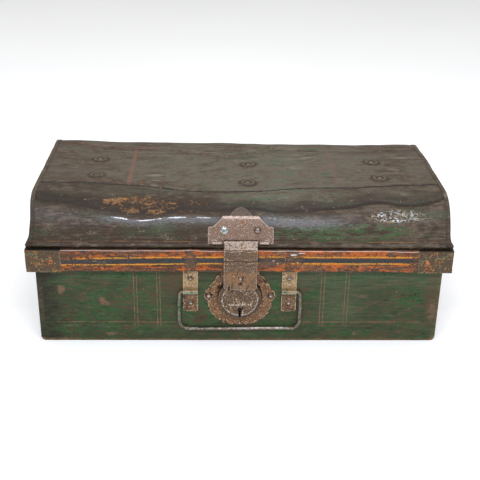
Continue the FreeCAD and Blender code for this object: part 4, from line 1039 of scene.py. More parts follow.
@dataclass
class LidShell:
    """The lid's bent sheet, with its wandering creases, bosses, dents and pressed shoulder.

    A way is a distance round the lid from the front wall's foot, mm.

    Attributes:
        columns, rows: quads along the lid and round it.
        row_shares, row_ways: which share of the rows reaches which way.
        sheet: the sheet's thickness, mm.
        ledge, wall_top: heights of the front wall's foot and top, mm.
        radius: radius of the shoulders, mm.
        half_length, half_depth: half the lid's sizes over its walls, mm.
        bead_rise, bead_proud: way and height of the bead along each wall's foot, mm.
        bosses: middles of the six pressed bosses, (x, y) in mm.
        front_crease, back_crease: the two pressed ribs, (x, way).
        ridge, hollow: the dented shoulder's crest and the hollow behind it, (x, way).
        sag, back_drop: how far the top has sunk, and how much further at the back, (x, mm).
        rust, greens: places with rust and with paint left, (x, way).
        crumple: where the sheet is crumpled, (x, way).
        scratches: pale scratches, (x, way) of both ends.
    """

    columns: int = 228
    rows: int = 204
    row_shares: tuple[float, ...] = (0.0, 0.06, 0.56, 0.77, 0.95, 1.0)
    row_ways: tuple[float, ...] = (0.0, 15.0, 140.0, 250.0, 399.0, 414.0)
    sheet: float = 1.0
    ledge: float = 157.0
    wall_top: float = 172.0
    radius: float = 56.0
    half_length: float = 303.95
    half_depth: float = 160.0
    bead_rise: float = 5.6
    bead_proud: float = 2.2
    bosses: tuple[tuple[float, float], ...] = (
        (-222.0, 31.0), (-220.0, -38.0), (15.0, 9.0), (12.0, -69.0), (213.0, 17.0), (215.0, -53.0))
    front_crease: Crease = Crease((
        (-303.0, 130.0), (-268.0, 133.0), (-239.0, 136.0), (-188.0, 134.0), (-163.0, 131.0), (-138.0, 127.0),
        (-112.0, 120.0), (-87.0, 112.0), (-62.0, 107.0), (-38.0, 104.0), (0.0, 103.0), (29.0, 105.0),
        (67.0, 110.0), (104.0, 114.0), (180.0, 119.0), (256.0, 125.0), (303.0, 130.0)))
    back_crease: Crease = Crease((
        (-264.0, 306.0), (-170.0, 290.0), (-121.0, 287.0), (-93.0, 278.0), (-52.0, 264.0), (-24.0, 253.0),
        (11.0, 266.0), (78.0, 284.0), (207.0, 284.0), (291.0, 292.0)))
    ridge: Crease = Crease((
        (-242.0, 60.0), (-217.0, 55.0), (-191.0, 52.0), (-172.0, 50.0), (-157.0, 47.0), (-143.0, 46.0),
        (-124.0, 48.0), (-110.0, 50.0), (-86.0, 51.0), (-37.0, 50.0), (31.0, 50.0), (88.0, 46.0),
        (136.0, 46.0)))
    hollow: Crease = Crease((
        (-296.0, 79.0), (-262.0, 77.0), (-230.0, 71.0), (-204.0, 66.0), (-163.0, 62.0), (-122.0, 60.0),
        (-74.0, 64.0), (-25.0, 64.0), (23.0, 66.0), (52.0, 61.0), (88.0, 63.0), (127.0, 66.0), (161.0, 68.0),
        (199.0, 78.0), (247.0, 71.0), (272.0, 75.0), (306.0, 86.0)))
    sag: Crease = Crease((
        (-305.0, 0.0), (-250.0, -2.6), (-190.0, -4.6), (-90.0, -4.2), (0.0, -3.4), (150.0, -1.8),
        (305.0, 0.0)))
    back_drop: Crease = Crease((
        (-305.0, 0.0), (-250.0, 1.4), (-90.0, 0.8), (0.0, 0.4), (50.0, -1.9), (130.0, -3.6), (230.0, -4.6),
        (305.0, -4.8)))
    rust: tuple[Patch, ...] = patches(
        (-188.0, 79.0, 14.0, 6.0), (-170.0, 85.0, 14.0, 5.0, 0.9), (-145.0, 86.0, 18.0, 4.5, 0.75),
        (-134.0, 75.0, 12.0, 5.0, 0.8), (-156.0, 63.0, 11.0, 3.6), (-124.0, 61.5, 16.0, 4.0),
        (-98.0, 72.0, 10.0, 8.0, 0.7), (-75.0, 62.0, 22.0, 3.6, 0.65), (-40.0, 61.0, 20.0, 3.0, 0.45),
        (-149.0, 145.0, 6.0, 9.0, 0.55), (-136.0, 179.0, 6.0, 4.0, 0.55), (-226.0, 133.0, 9.0, 4.0, 0.5),
        (-222.0, 158.0, 12.0, 6.0, 0.4), (240.0, 66.0, 14.0, 4.0, 0.4), (-150.0, 75.0, 60.0, 15.0, 0.5),
        (-80.0, 76.0, 50.0, 8.0, 0.35))
    greens: tuple[Patch, ...] = patches(
        (150.0, 25.0, 90.0, 15.0), (84.0, 28.0, 40.0, 13.0, 0.8), (215.0, 28.0, 40.0, 9.0, 0.6),
        (-120.0, 30.0, 60.0, 12.0, 0.2), (-196.0, 48.0, 24.0, 6.0, 0.2), (40.0, 82.0, 70.0, 8.0, 0.3),
        (150.0, 72.0, 50.0, 6.0, 0.4))
    crumple: Patch = Patch(226.0, 51.0, 46.0, 12.0)
    scratches: tuple[tuple[float, float, float, float], ...] = (
        (-48.0, 106.0, -22.0, 140.0), (-90.0, 97.0, -70.0, 93.0), (-30.0, 88.0, -2.0, 82.0),
        (118.0, 152.0, 128.0, 154.0), (-84.0, 76.0, -78.0, 72.0), (36.0, 76.0, 70.0, 88.0),
        (-270.0, 62.0, -240.0, 58.0), (232.0, 92.0, 240.0, 97.0))

    @property
    def shoulder_end(self) -> float:
        """Gives the way at which the front shoulder has turned level."""
        return self.wall_top - self.ledge + self.radius * math.pi / 2

    @property
    def whole(self) -> float:
        """Gives the way from one wall's foot to the other's."""
        return 2 * self.shoulder_end + 2 * (self.half_depth - self.radius)

    def profile(self, way: np.ndarray) -> tuple[np.ndarray, np.ndarray, np.ndarray]:
        """Gives the plain lid's outline.

        Args:
            way: the way of each point.

        Returns:
            The depth, the height and the angle of the normal above level, from the front round to the back.
        """
        wall = self.wall_top - self.ledge
        turned = way > self.whole / 2
        way = np.where(turned, self.whole - way, way)
        angle = np.clip((way - wall) / self.radius, 0, math.pi / 2)
        middle = self.half_depth - self.radius
        depth = -middle - self.radius * np.cos(angle) + np.maximum(way - self.shoulder_end, 0)
        height = self.ledge + np.minimum(way, wall) + self.radius * np.sin(angle)
        side = np.where(turned, -1.0, 1.0)
        return depth * side, height, np.where(turned, math.pi - angle, angle)

    def past_lines(self, x: np.ndarray, way: np.ndarray) -> list[np.ndarray]:
        """Gives how far points are past the front crease, the back crease, the ridge and the hollow, mm."""
        lines = (self.front_crease, self.back_crease, self.ridge, self.hollow)
        return [way - line.across(x) for line in lines]

    def relief(self, x: np.ndarray, way: np.ndarray, y: np.ndarray) -> np.ndarray:
        """Gives how far the pressed and dented sheet stands off the plain outline.

        Args:
            x: place along the lid, mm.
            way: the way of each point.
            y: depth on the plain outline, mm.

        Returns:
            The distance outwards, mm.
        """
        front, back, crest, dip = self.past_lines(x, way)
        left = step(x, 0.0, -60.0)
        dented = 1.7 * bump(front - 4.0, 4.4) - 2.2 * bump(front + 0.4, 1.7)
        dented += self.back_crease.fades(x, 20.0) * (bump(back - 2.0, 4.0) - 1.4 * bump(back + 2.0, 2.4))
        shoulder = (0.5 + 1.1 * left) * bump(crest, 4.2) - 0.8 * left * bump(crest - 9.0, 5.0)
        dented += self.ridge.fades(x, 60.0) * shoulder
        sunk = 2.6 * bump(dip, 7.0) + 1.2 * step(x, 60.0, 160.0) * bump(dip, 2.2)
        dented -= self.hollow.fades(x, 10.0) * sunk
        folds = np.abs(Ripple(17.0, 5).at(x * 1.5, way)) - 0.7
        dented += self.crumple.cover(x, way) * 1.5 * folds
        waves = 0.55 * Ripple(120.0, 11).at(x, way * 1.6) + 0.16 * Ripple(34.0, 12).at(x, way)
        dented += waves * step(way, 8.0, 26.0)
        beads = bump(way - self.bead_rise, 2.2) + bump(self.whole - way - self.bead_rise, 2.2)
        inside = step(np.abs(x), self.half_length - 1.0, self.half_length - 16.0)
        rise = beads * self.bead_proud + inside * dented
        for boss in self.bosses:
            pressed = 1.5 * ring(x, y, boss, 9.0, 3.4) + 0.8 * ring(x, y, boss, 0.0, 3.0)
            rise += pressed * step(way, self.shoulder_end - 20, self.shoulder_end)
        return rise

    def settle(self, x: np.ndarray, y: np.ndarray, z: np.ndarray) -> np.ndarray:
        """Gives how far the dented top has sunk at each point, mm."""
        top = step(z, self.wall_top, self.wall_top + 40)
        return (self.sag.across(x) + self.back_drop.across(x) * step(y, 20.0, 110.0)) * top

    def flare(self, x: np.ndarray, z: np.ndarray) -> np.ndarray:
        """Gives how far the lid's ends splay out at their foot, where the skirt was beaten on.

        Args:
            x: place along the lid, mm.
            z: height, mm.

        Returns:
            The shift along X at each point, mm.
        """
        splay = 5.0 * step(z, 183.0, self.ledge)
        pinch = np.where(x < 0, 2.6, 0.6) * bump(z - 202.0, 18.0)
        near_end = step(np.abs(x), self.half_length - 18.0, self.half_length)
        return np.sign(x) * near_end * (splay - pinch)

    def build(self) -> None:
        """Bends the sheet, dents it and paints its masks."""
        lid = Workpiece.sheet(self.columns, self.rows)
        along, up, _ = lid.points() * MM
        x = along * self.half_length
        way = np.minimum(np.interp((up + 1) / 2, self.row_shares, self.row_ways), self.whole)
        y, z, tilt = self.profile(way)
        rise = self.relief(x, way, y)
        y = y - rise * np.cos(tilt)
        z = z + rise * np.sin(tilt)
        z = np.minimum(z + self.settle(x, y, z), box_mm("lid_sheet")[1][2])
        self.paint_dirt_and_shade(lid, x, way)
        self.paint_wear_and_highlights(lid, x, way)
        self.paint_lines(lid, x, way)
        lid.move(x + self.flare(x, z), y, z)
        lid.face(Vector((0.0, 0.0, 1.0)))
        enamel = LidEnamel(bosses=self.bosses)
        lid.hang("pressed_lid", Body.LID, "lid_sheet", "lid_paint", enamel, 60.0, self.sheet)

    def paint_dirt_and_shade(self, lid: Workpiece, x: np.ndarray, way: np.ndarray) -> None:
        """Masks where the lid is rubbed, brown, green, rusty and dirty, and where shade is painted in its
        hollow, at its ends, above its foot and along its creases.

        Args:
            lid: the sheet.
            x: place along the lid, mm.
            way: the way of each point.
        """
        front, back, crest, dip = self.past_lines(x, way)
        left = step(x, 0.0, -80.0)
        rubbed = step(front, -4.0, 4.0) * (0.8 + 0.2 * step(np.abs(x), 300.0, 200.0))
        lid.mask("crown", rubbed, step(dip, 4.0, 18.0) * (0.3 + 0.5 * bump(x - 60.0, 130.0)))
        brown = 0.35 + 0.45 * step(x, -90.0, -230.0) + 0.35 * step(x, 90.0, 250.0)
        brown += 0.35 * step(back, 8.0, 20.0) + 0.4 * bump(back + 4.0, 10.0)
        brown += 0.3 * bump(front - 14.0, 14.0) * left - 0.25 * bump(x - 60.0, 60.0)
        lid.mask("brown", brown)
        lid.mask("green", covered(self.greens, x, way))
        lid.mask("rust", covered(self.rust, x, way))
        # Painted shade in the dented hollow behind the ridge, at the ends and just above the foot
        hollow = strongest((0.65 + 0.3 * left) * bump(dip - 7.0, 15.0), 1.1 * bump(dip, 4.2))
        end = self.shoulder_end
        corner = 0.4 * step(np.abs(x), 284.0, 303.0) * step(way, end + 10, end - 20)
        foot = 0.55 * step(way, 9.0, 12.0) * step(way, 20.0, 13.0)
        lid.mask("shade", hollow * step(crest, 1.0, 7.0), corner, foot)
        # Painted shade with grime: dark lines along both creases, and painted shade in the gap at the foot
        behind = 0.6 * bump(back + 1.5, 1.6) * self.back_crease.fades(x, 20.0)
        lid.mask("grime_and_shade", 1.2 * bump(front + 0.4, 1.5), behind, step(way, 3.4, 1.8))

    def paint_wear_and_highlights(self, lid: Workpiece, x: np.ndarray, way: np.ndarray) -> None:
        """Masks where the lid is rubbed bare and scratched, where a highlight is painted on its ridge, crease
        and bead, where a sheen is painted beside the ridge, and where it is crumpled.

        Args:
            lid: the sheet.
            x: place along the lid, mm.
            way: the way of each point.
        """
        front, _, crest, dip = self.past_lines(x, way)
        beside_hasp = self.ridge.fades(x, 20.0) * step(np.abs(x - 8.0), 24.0, 34.0)
        reach = strongest(0.95 * step(x, 0.0, -80.0), 0.3 + 0.3 * step(x, 120.0, 60.0))
        reach *= step(x, -212.0, -176.0)
        # Painted highlight on the shoulder's ridge, where it is also rubbed bare, with pale lines on the
        # front crease and the bead
        ridge = 1.1 * bump(crest - 0.5, 1.4) * beside_hasp * (0.75 + 0.25 * Ripple(34.0, 9).at(x)) * reach
        bare_and_highlight = [ridge, 0.4 * bump(front - 4.0, 1.8), 0.5 * bump(way - self.bead_rise, 1.0)]
        for x_0, way_0, x_1, way_1 in self.scratches:
            run, climb = x_1 - x_0, way_1 - way_0
            share = np.clip(((x - x_0) * run + (way - way_0) * climb) / (run ** 2 + climb ** 2), 0, 1)
            bare_and_highlight.append(0.42 * bump(np.hypot(x - x_0 - share * run, way - way_0 - share * climb), 1.5))
        lid.mask("bare_and_highlight", *bare_and_highlight)
        lid.mask("crumple", self.crumple.cover(x, way) * step(way, 38.0, 44.0))
        # Painted sheen below the ridge, strongest right of the hasp
        sheen = beside_hasp * np.where(x < 0, 0.7 * bump(crest + 3.0, 6.5), 0.0) * step(x, -222.0, -180.0)
        sheen += 0.72 * bump(crest + 4.0, 12.0) * step(x, 22.0, 34.0) * step(x, 230.0, 90.0)
        sheen += 0.28 * bump(crest + 6.0, 15.0) * step(x, -180.0, -215.0)
        lid.mask("sheen", sheen, 0.3 * bump(x - 60.0, 50.0) * bump(dip - 22.0, 10.0))

    def paint_lines(self, lid: Workpiece, x: np.ndarray, way: np.ndarray) -> None:
        """Masks the lid's red bands and the gold line at its foot.

        Args:
            lid: the sheet.
            x: place along the lid, mm.
            way: the way of each point.
        """
        back = self.past_lines(x, way)[1]
        bands = bump(x + 168.0, 4.5) + 0.7 * bump(x - 149.0, 6.5)
        bands *= step(way, self.shoulder_end + 24, self.shoulder_end + 34) * step(way, 290.0, 280.0)
        crease = bump(back - 1.0, 1.8) * step(x, 20.0, -60.0) * self.back_crease.fades(x, 10.0)
        lid.mask("red_line", 0.85 * strongest(bands, crease))
        lid.mask("gold_line", bump(way - 12.0, 0.9))


@dataclass
class EndCaps:
    """The lid's end caps, splayed at the foot where the skirt was beaten on.

    Attributes:
        pitch: distance between the cuts that let a cap bend, mm.
    """

    pitch: float = 5.0

    def build(self) -> None:
        """Bends a copy of each CAD cap and dents it a little."""
        shell = LidShell()
        half_length = shell.half_length
        for side in ("left", "right"):
            node = "lid_end_" + side
            cap = Workpiece.copy_of(node)
            cap.slice(self.pitch, Axis.HEIGHT, Axis.DEPTH)
            x, y, z = cap.points()
            dent = 0.5 * np.abs(Ripple(60.0, 21).at(y, z)) * step(np.abs(y), 160.0, 120.0)
            cap.move(x + shell.flare(x, z) - np.sign(x) * dent, y, z + shell.settle(x, y, z))
            cap.mask("brown", 0.9)
            fold = step(z, 214.0, 226.0) * step(np.abs(x), half_length + 2.6, half_length + 1.8)
            cap.mask("crown", 0.85 * fold)
            # Painted shade at the cap's foot, over the ledge
            cap.mask("grime_and_shade", 0.5 * step(z, 166.0, 158.0))
            cap.mask("green", 0.4 * step(np.abs(y), 150.0, 90.0) * step(z, 222.0, 200.0))
            cap.mask("shade", 0.5 - 0.35 * fold)
            cap.hang("splayed_cap_" + side, Body.LID, node, "lid_paint", LidEnamel(bosses=shell.bosses))


@dataclass
class SkirtBand:
    """The lid's deep skirt: a ledge, a rolled top edge and a striped face that has been knocked about.

    Attributes:
        edge_radius: radius of the roll between ledge and face, mm.
        hem: length turned under at the foot, mm.
        pitch: length of a quad along the skirt, mm.
        sheet: the sheet's thickness, mm.
        end_gap: how far a side stops short of its CAD node's ends, under the clips, mm.
        lifts: (x, half width, height) of the places where the brackets push the edge up, mm.
        worn, bare: where the front's paint is worn to dark steel, and where to bright steel with painted
            glints on its dents, (x, z).
    """

    edge_radius: float = 1.3
    hem: float = 2.2
    pitch: float = 3.2
    sheet: float = 1.0
    end_gap: float = 0.4
    lifts: tuple[tuple[float, float, float], ...] = (
        (-73.0, 9.0, 1.5), (70.0, 14.0, 0.9), (-214.0, 10.0, 0.5))
    worn: tuple[Patch, ...] = patches(
        (-73.0, 139.0, 9.0, 26.0, 1.1), (43.0, 137.0, 24.0, 9.0, 0.95), (78.0, 139.0, 15.0, 24.0, 0.75),
        (-250.0, 139.0, 14.0, 26.0, 0.55), (-213.0, 142.0, 22.0, 8.0, 0.4), (-163.0, 144.0, 6.0, 4.0, 0.75),
        (220.0, 151.0, 7.0, 5.0, 0.8), (256.0, 139.0, 7.0, 26.0, 0.75), (118.0, 127.0, 16.0, 5.0, 0.6),
        (30.0, 149.0, 10.0, 6.0, 0.5), (-190.0, 152.0, 110.0, 7.0, 0.45), (-190.0, 127.0, 110.0, 6.0, 0.45),
        (-215.0, 138.0, 50.0, 14.0, 0.35), (190.0, 128.0, 90.0, 6.0, 0.6))
    bare_chips_and_glints: tuple[Patch, ...] = patches(
        (77.0, 150.6, 7.0, 1.6, 1.1), (89.0, 153.4, 6.0, 1.5, 1.1), (47.0, 141.0, 1.6, 1.6, 1.1),
        (55.0, 137.0, 2.0, 1.4, 1.1), (84.0, 138.0, 2.0, 1.4, 1.1))

    def outline(self, out: float, inner: float, foot: float, top: float) -> np.ndarray:
        """Gives the skirt's section from the ledge's inner edge to the hem.

        Args:
            out: distance of the face from the trunk's middle, mm.
            inner: distance of the ledge's inner edge, mm.
            foot: the skirt's lower edge, mm.
            top: the ledge's height, mm.

        Returns:
            (out, height) of each point, mm.
        """
        radius = self.edge_radius
        ledge = [(inner + (out - radius - inner) * i / 3, top) for i in range(3)]
        roll = [(out - radius + radius * math.sin(a), top - radius + radius * math.cos(a))
                for a in np.linspace(0, math.pi / 2, 5)]
        face = [(out, z) for z in np.linspace(top - radius, foot + radius, 16)[1:]]
        under = [(out - radius + radius * math.cos(a), foot + radius - radius * math.sin(a))
                 for a in np.linspace(0, math.pi / 2, 4)[1:]]
        hem = [(out - radius - self.hem, foot)]
        return np.array(ledge + roll + face + under + hem)

    def build(self) -> None:
        """Makes the four sides and the clips at their corners, and dresses the rivets there."""
        self.build_side("front", Axis.LENGTH, -1.0)
        self.build_side("back", Axis.LENGTH, 1.0)
        self.build_side("left", Axis.DEPTH, -1.0)
        self.build_side("right", Axis.DEPTH, 1.0)
        for corner in ("front_left", "front_right", "back_left", "back_right"):
            self.build_clip(corner)
        dress(Finish.CLIP_RIVET, "band_rivets")

    def build_side(self, name: str, along: Axis, sign: float) -> None:
        """Makes one side of the skirt.

        Args:
            name: which side, as in the CAD node's name.
            along: the axis that the side runs along.
            sign: -1 for the front and the left, 1 for the back and the right.
        """
        low, high = box_mm("band_" + name)
        across = Axis.DEPTH if along is Axis.LENGTH else Axis.LENGTH
        inner, outer = sorted((abs(low[across.value]), abs(high[across.value])))
        section = self.outline(outer, inner, low[2], high[2])
        half = high[along.value] - self.end_gap
        side = Workpiece.sheet(round(2 * half / self.pitch), len(section) - 1)
        place, up, _ = side.points() * MM
        run = place * half
        row = np.rint((up + 1) / 2 * (len(section) - 1)).astype(int)
        out, z = section[row].T
        face = step(out, outer - 3.0, outer - 0.5)
        wide = step(np.abs(run), half, half - 14.0)
        knocked = 0.22 * Ripple(70.0, 31).at(run, z) - 0.35 + 0.10 * Ripple(16.0, 32).at(run, z)
        z = z + (0.3 * Ripple(90.0, 33).at(run) - 0.35) * wide * step(out, inner, outer)
        if name == "front":
            for middle, width, height in self.lifts:
                lift = height * bump(run - middle, width)
                z = z + lift * step(z, 148.0, 156.0) * step(out, inner, outer - 2.0)
                knocked = knocked + 0.8 * lift
        out = sign * (out + knocked * face * wide)
        x, y = (run, out) if along is Axis.LENGTH else (out, run)
        side.move(x, y, z)
        self.wear_shade_and_highlight_side(side, name, run, row, z)
        way = Vector((0.0, 0.0, 0.0))
        way[across.value] = sign
        side.face(way)
        piece = "striped_skirt_" + name
        side.hang(piece, Body.LID, "band_" + name, "band_paint", StripedEnamel(), 60.0, self.sheet)

    def wear_shade_and_highlight_side(self, side: Workpiece, name: str, run: np.ndarray, row: np.ndarray, z: np.ndarray) -> None:
        """Masks where one side's paint is worn, where its ledge gets painted shade, and where its rolled top
        edge and dents get painted highlights.

        Args:
            side: the side.
            name: which side it is.
            run: place along it, mm.
            row: which point of the section each vertex is.
            z: height, mm.
        """
        # The ledge under the lid's overhang takes the dark steel as painted shade, and the foot takes it too;
        # the rolled top edge gets a painted highlight
        foot = 0.75 * step(z, 127.0, 124.0)
        ledge = step(row, 3.0, 2.0)
        if name == "front":
            side.mask("edge", bump(row - 4.2, 1.5))
            side.mask("worn", covered(self.worn, run, z), ledge, foot)
            side.mask("bare_chips_and_glints", covered(self.bare_chips_and_glints, run, z))
        else:
            side.mask("edge", 0.7 * bump(row - 4.2, 1.2))
            side.mask("worn", 0.35 + 0.3 * step(Ripple(90.0, 35).at(run), 0.2, 1.2), ledge, foot)
            side.mask("bare_chips_and_glints", 0.0)

    def build_clip(self, corner: str) -> None:
        """Beats a copy of one corner clip.

        Args:
            corner: which corner, as in the CAD node's name.
        """
        node = "band_corner_" + corner

        def outer(face: bmesh.types.BMFace) -> bool:
            """Says whether a face is on the clip's outside.

            Args:
                face: a face of the clip.

            Returns:
                True for a face that looks outwards and is more than a sliver.
            """
            centre = face.calc_center_median()
            out = Vector((centre.x / 2, centre.y, 0)).normalized()
            return face.normal.dot(out) > 0.3 and face.calc_area() > 1e-5

        clip = Workpiece.copy_of(node)
        clip.rub_edges(0.8, outer)
        clip.slice(3.0, Axis.LENGTH, Axis.DEPTH, Axis.HEIGHT)
        x, y, z = clip.points()
        beaten = 0.16 * Ripple(14.0, 41).at(x, y, z) - 0.15
        front = np.abs(y) > 165.0
        y = y + np.where(front, np.sign(y) * beaten, 0)
        x = x + np.where(np.abs(x) > 310.0, np.sign(x) * beaten, 0)
        clip.move(x, y, z)
        low, high = box_mm(node)
        inner = np.abs(x) - min(abs(low[0]), abs(high[0]))
        clip.mask("paint", 0.7 * bump(z - 144.0 - 0.3 * (inner - 20.0), 4.0))
        clip.mask("rust", 0.7 * ring(inner, z, (21.0, 139.0), 6.0, 2.4) * front, 0.4 * step(z, 152.0, 156.0))
        # Painted shade along the clip's top, under the lid's ledge
        clip.mask("dirt_and_shade", 0.9 * step(z, 156.2, 157.6))
        clip.hang("beaten_clip_" + corner, Body.LID, node, "clip_paint", Finish.CLIP)


@dataclass
class BoxWalls:
    """The box: four walls and a floor, bowed a little, with rubbed enamel.

    Attributes:
        pitch: distance between the cuts that let a wall bow, mm.
        seats: where the hardware lies and a wall stays flat, (x, z).
        blotches: worn places on the front, (x, z).
        rubbed: brown rubbed areas on the front, (x, z).
    """

    pitch: float = 9.0
    seats: tuple[Patch, ...] = patches(
        (0.0, 80.0, 66.0, 60.0), (-74.0, 90.0, 14.0, 40.0), (74.0, 90.0, 14.0, 40.0),
        (-190.0, 80.0, 34.0, 50.0), (190.0, 80.0, 34.0, 50.0))
    blotches: tuple[Patch, ...] = patches(
        (-266.0, 87.0, 6.0, 9.0), (-206.0, 72.0, 6.0, 9.0, 0.7), (-198.0, 62.0, 6.0, 6.0, 0.75),
        (175.0, 14.0, 8.0, 3.0), (291.0, 52.0, 9.0, 22.0, 0.7), (185.0, 77.0, 14.0, 1.6),
        (-194.0, 12.6, 9.0, 4.0), (-151.0, 121.0, 4.0, 4.0), (136.0, 62.0, 3.0, 3.0),
        (-297.0, 60.0, 4.0, 60.0, 0.6))
    rubbed: tuple[Patch, ...] = patches(
        (-99.0, 100.0, 18.0, 22.0, 1.3), (98.0, 100.0, 16.0, 18.0, 0.75), (-290.0, 80.0, 12.0, 74.0, 0.75),
        (290.0, 78.0, 16.0, 74.0, 0.85), (-100.0, 6.0, 190.0, 8.0, 0.5), (120.0, 6.0, 150.0, 6.0, 0.45),
        (220.0, 96.0, 60.0, 30.0, 0.35), (-60.0, 40.0, 12.0, 20.0, 0.6), (0.0, 118.0, 95.0, 12.0, 0.7),
        (-140.0, 70.0, 40.0, 40.0, 0.4), (258.0, 40.0, 34.0, 20.0, 0.4), (-270.0, 44.0, 26.0, 36.0, 0.5),
        (-190.0, 60.0, 30.0, 12.0, 0.3), (230.0, 62.0, 50.0, 16.0, 0.35))

    def build(self) -> None:
        """Bows and paints a copy of each wall, and dresses the rim wire."""
        for name in ("front", "back", "end_left", "end_right", "bottom"):
            self.build_wall(name)
        dress(Finish.BARE, "rim_wire")

    def build_wall(self, name: str) -> None:
        """Bows one wall inwards a little.

        Args:
            name: the wall's name, as in the CAD node's name.
        """
        node = "body_" + name
        wall = Workpiece.copy_of(node)
        for axis in Axis:
            if np.ptp(wall.points()[axis.value]) > 4 * self.pitch:
                wall.slice(self.pitch * (0.6 if name == "front" else 1.0), axis)
        x, y, z = wall.points()
        bow = (0.45 * Ripple(150.0, 51).at(x, y, z) - 0.5) * step(z, 6.0, 30.0) * step(z, 150.0, 110.0)
        if name in ("front", "back"):
            bow *= step(np.abs(x), 299.0, 260.0)
            y = y + np.sign(y) * np.minimum(bow, 0) * (1 - covered(self.seats, x, z))
        elif name != "bottom":
            bow *= step(np.abs(y), 155.0, 120.0)
            x = x + np.sign(x) * np.minimum(bow, 0)
        wall.move(x, y, z)
        self.wear_and_shade_wall(wall, name == "front")
        wall.hang("enamelled_" + node, Body.BOX, node, "body_paint", GreenEnamel())

    def wear_and_shade_wall(self, wall: Workpiece, front: bool) -> None:
        """Masks where a wall is worn, rubbed, dusty and lined, and where shade is painted on it.

        Args:
            wall: the wall.
            front: whether it is the front wall.
        """
        x, y, z = wall.points()
        if front:
            wall.mask("worn", covered(self.blotches, x, z))
            wall.mask("rubbed", covered(self.rubbed, x, z))
        else:
            wall.mask("worn", 0.35 * step(Ripple(120.0, 53).at(x, y, z), 0.8, 1.8))
            wall.mask("rubbed", 0.35 + 0.25 * Ripple(140.0, 54).at(x, y, z))
        dusty = 0.8 * step(z, 60.0, 112.0) * (0.5 + 0.5 * step(x, 20.0, 110.0))
        wall.mask("dusty", dusty, 0.75 * bump(x - 150.0, 55.0) * step(z, 14.0, 40.0))
        ends = np.where(x < 0, 0.25, 0.6) * step(np.abs(x), 288.0, 299.0)
        wall.mask("edge", 0.8 * step(z, 8.0, 3.0) + ends)
        # Painted shade at the left end and low down on the left of the front
        left = step(x, -246.0, -292.0) + 0.45 * bump(x + 230.0, 40.0) * step(z, 100.0, 50.0)
        wall.mask("wall_shade", left * front, 0.5 * step(z, 14.0, 4.0) * step(x, 60.0, -100.0) * front)
        wall.mask("lined", front * step(np.abs(x), 284.0, 276.0) * (1 - 0.8 * step(np.abs(x), 100.0, 60.0)))


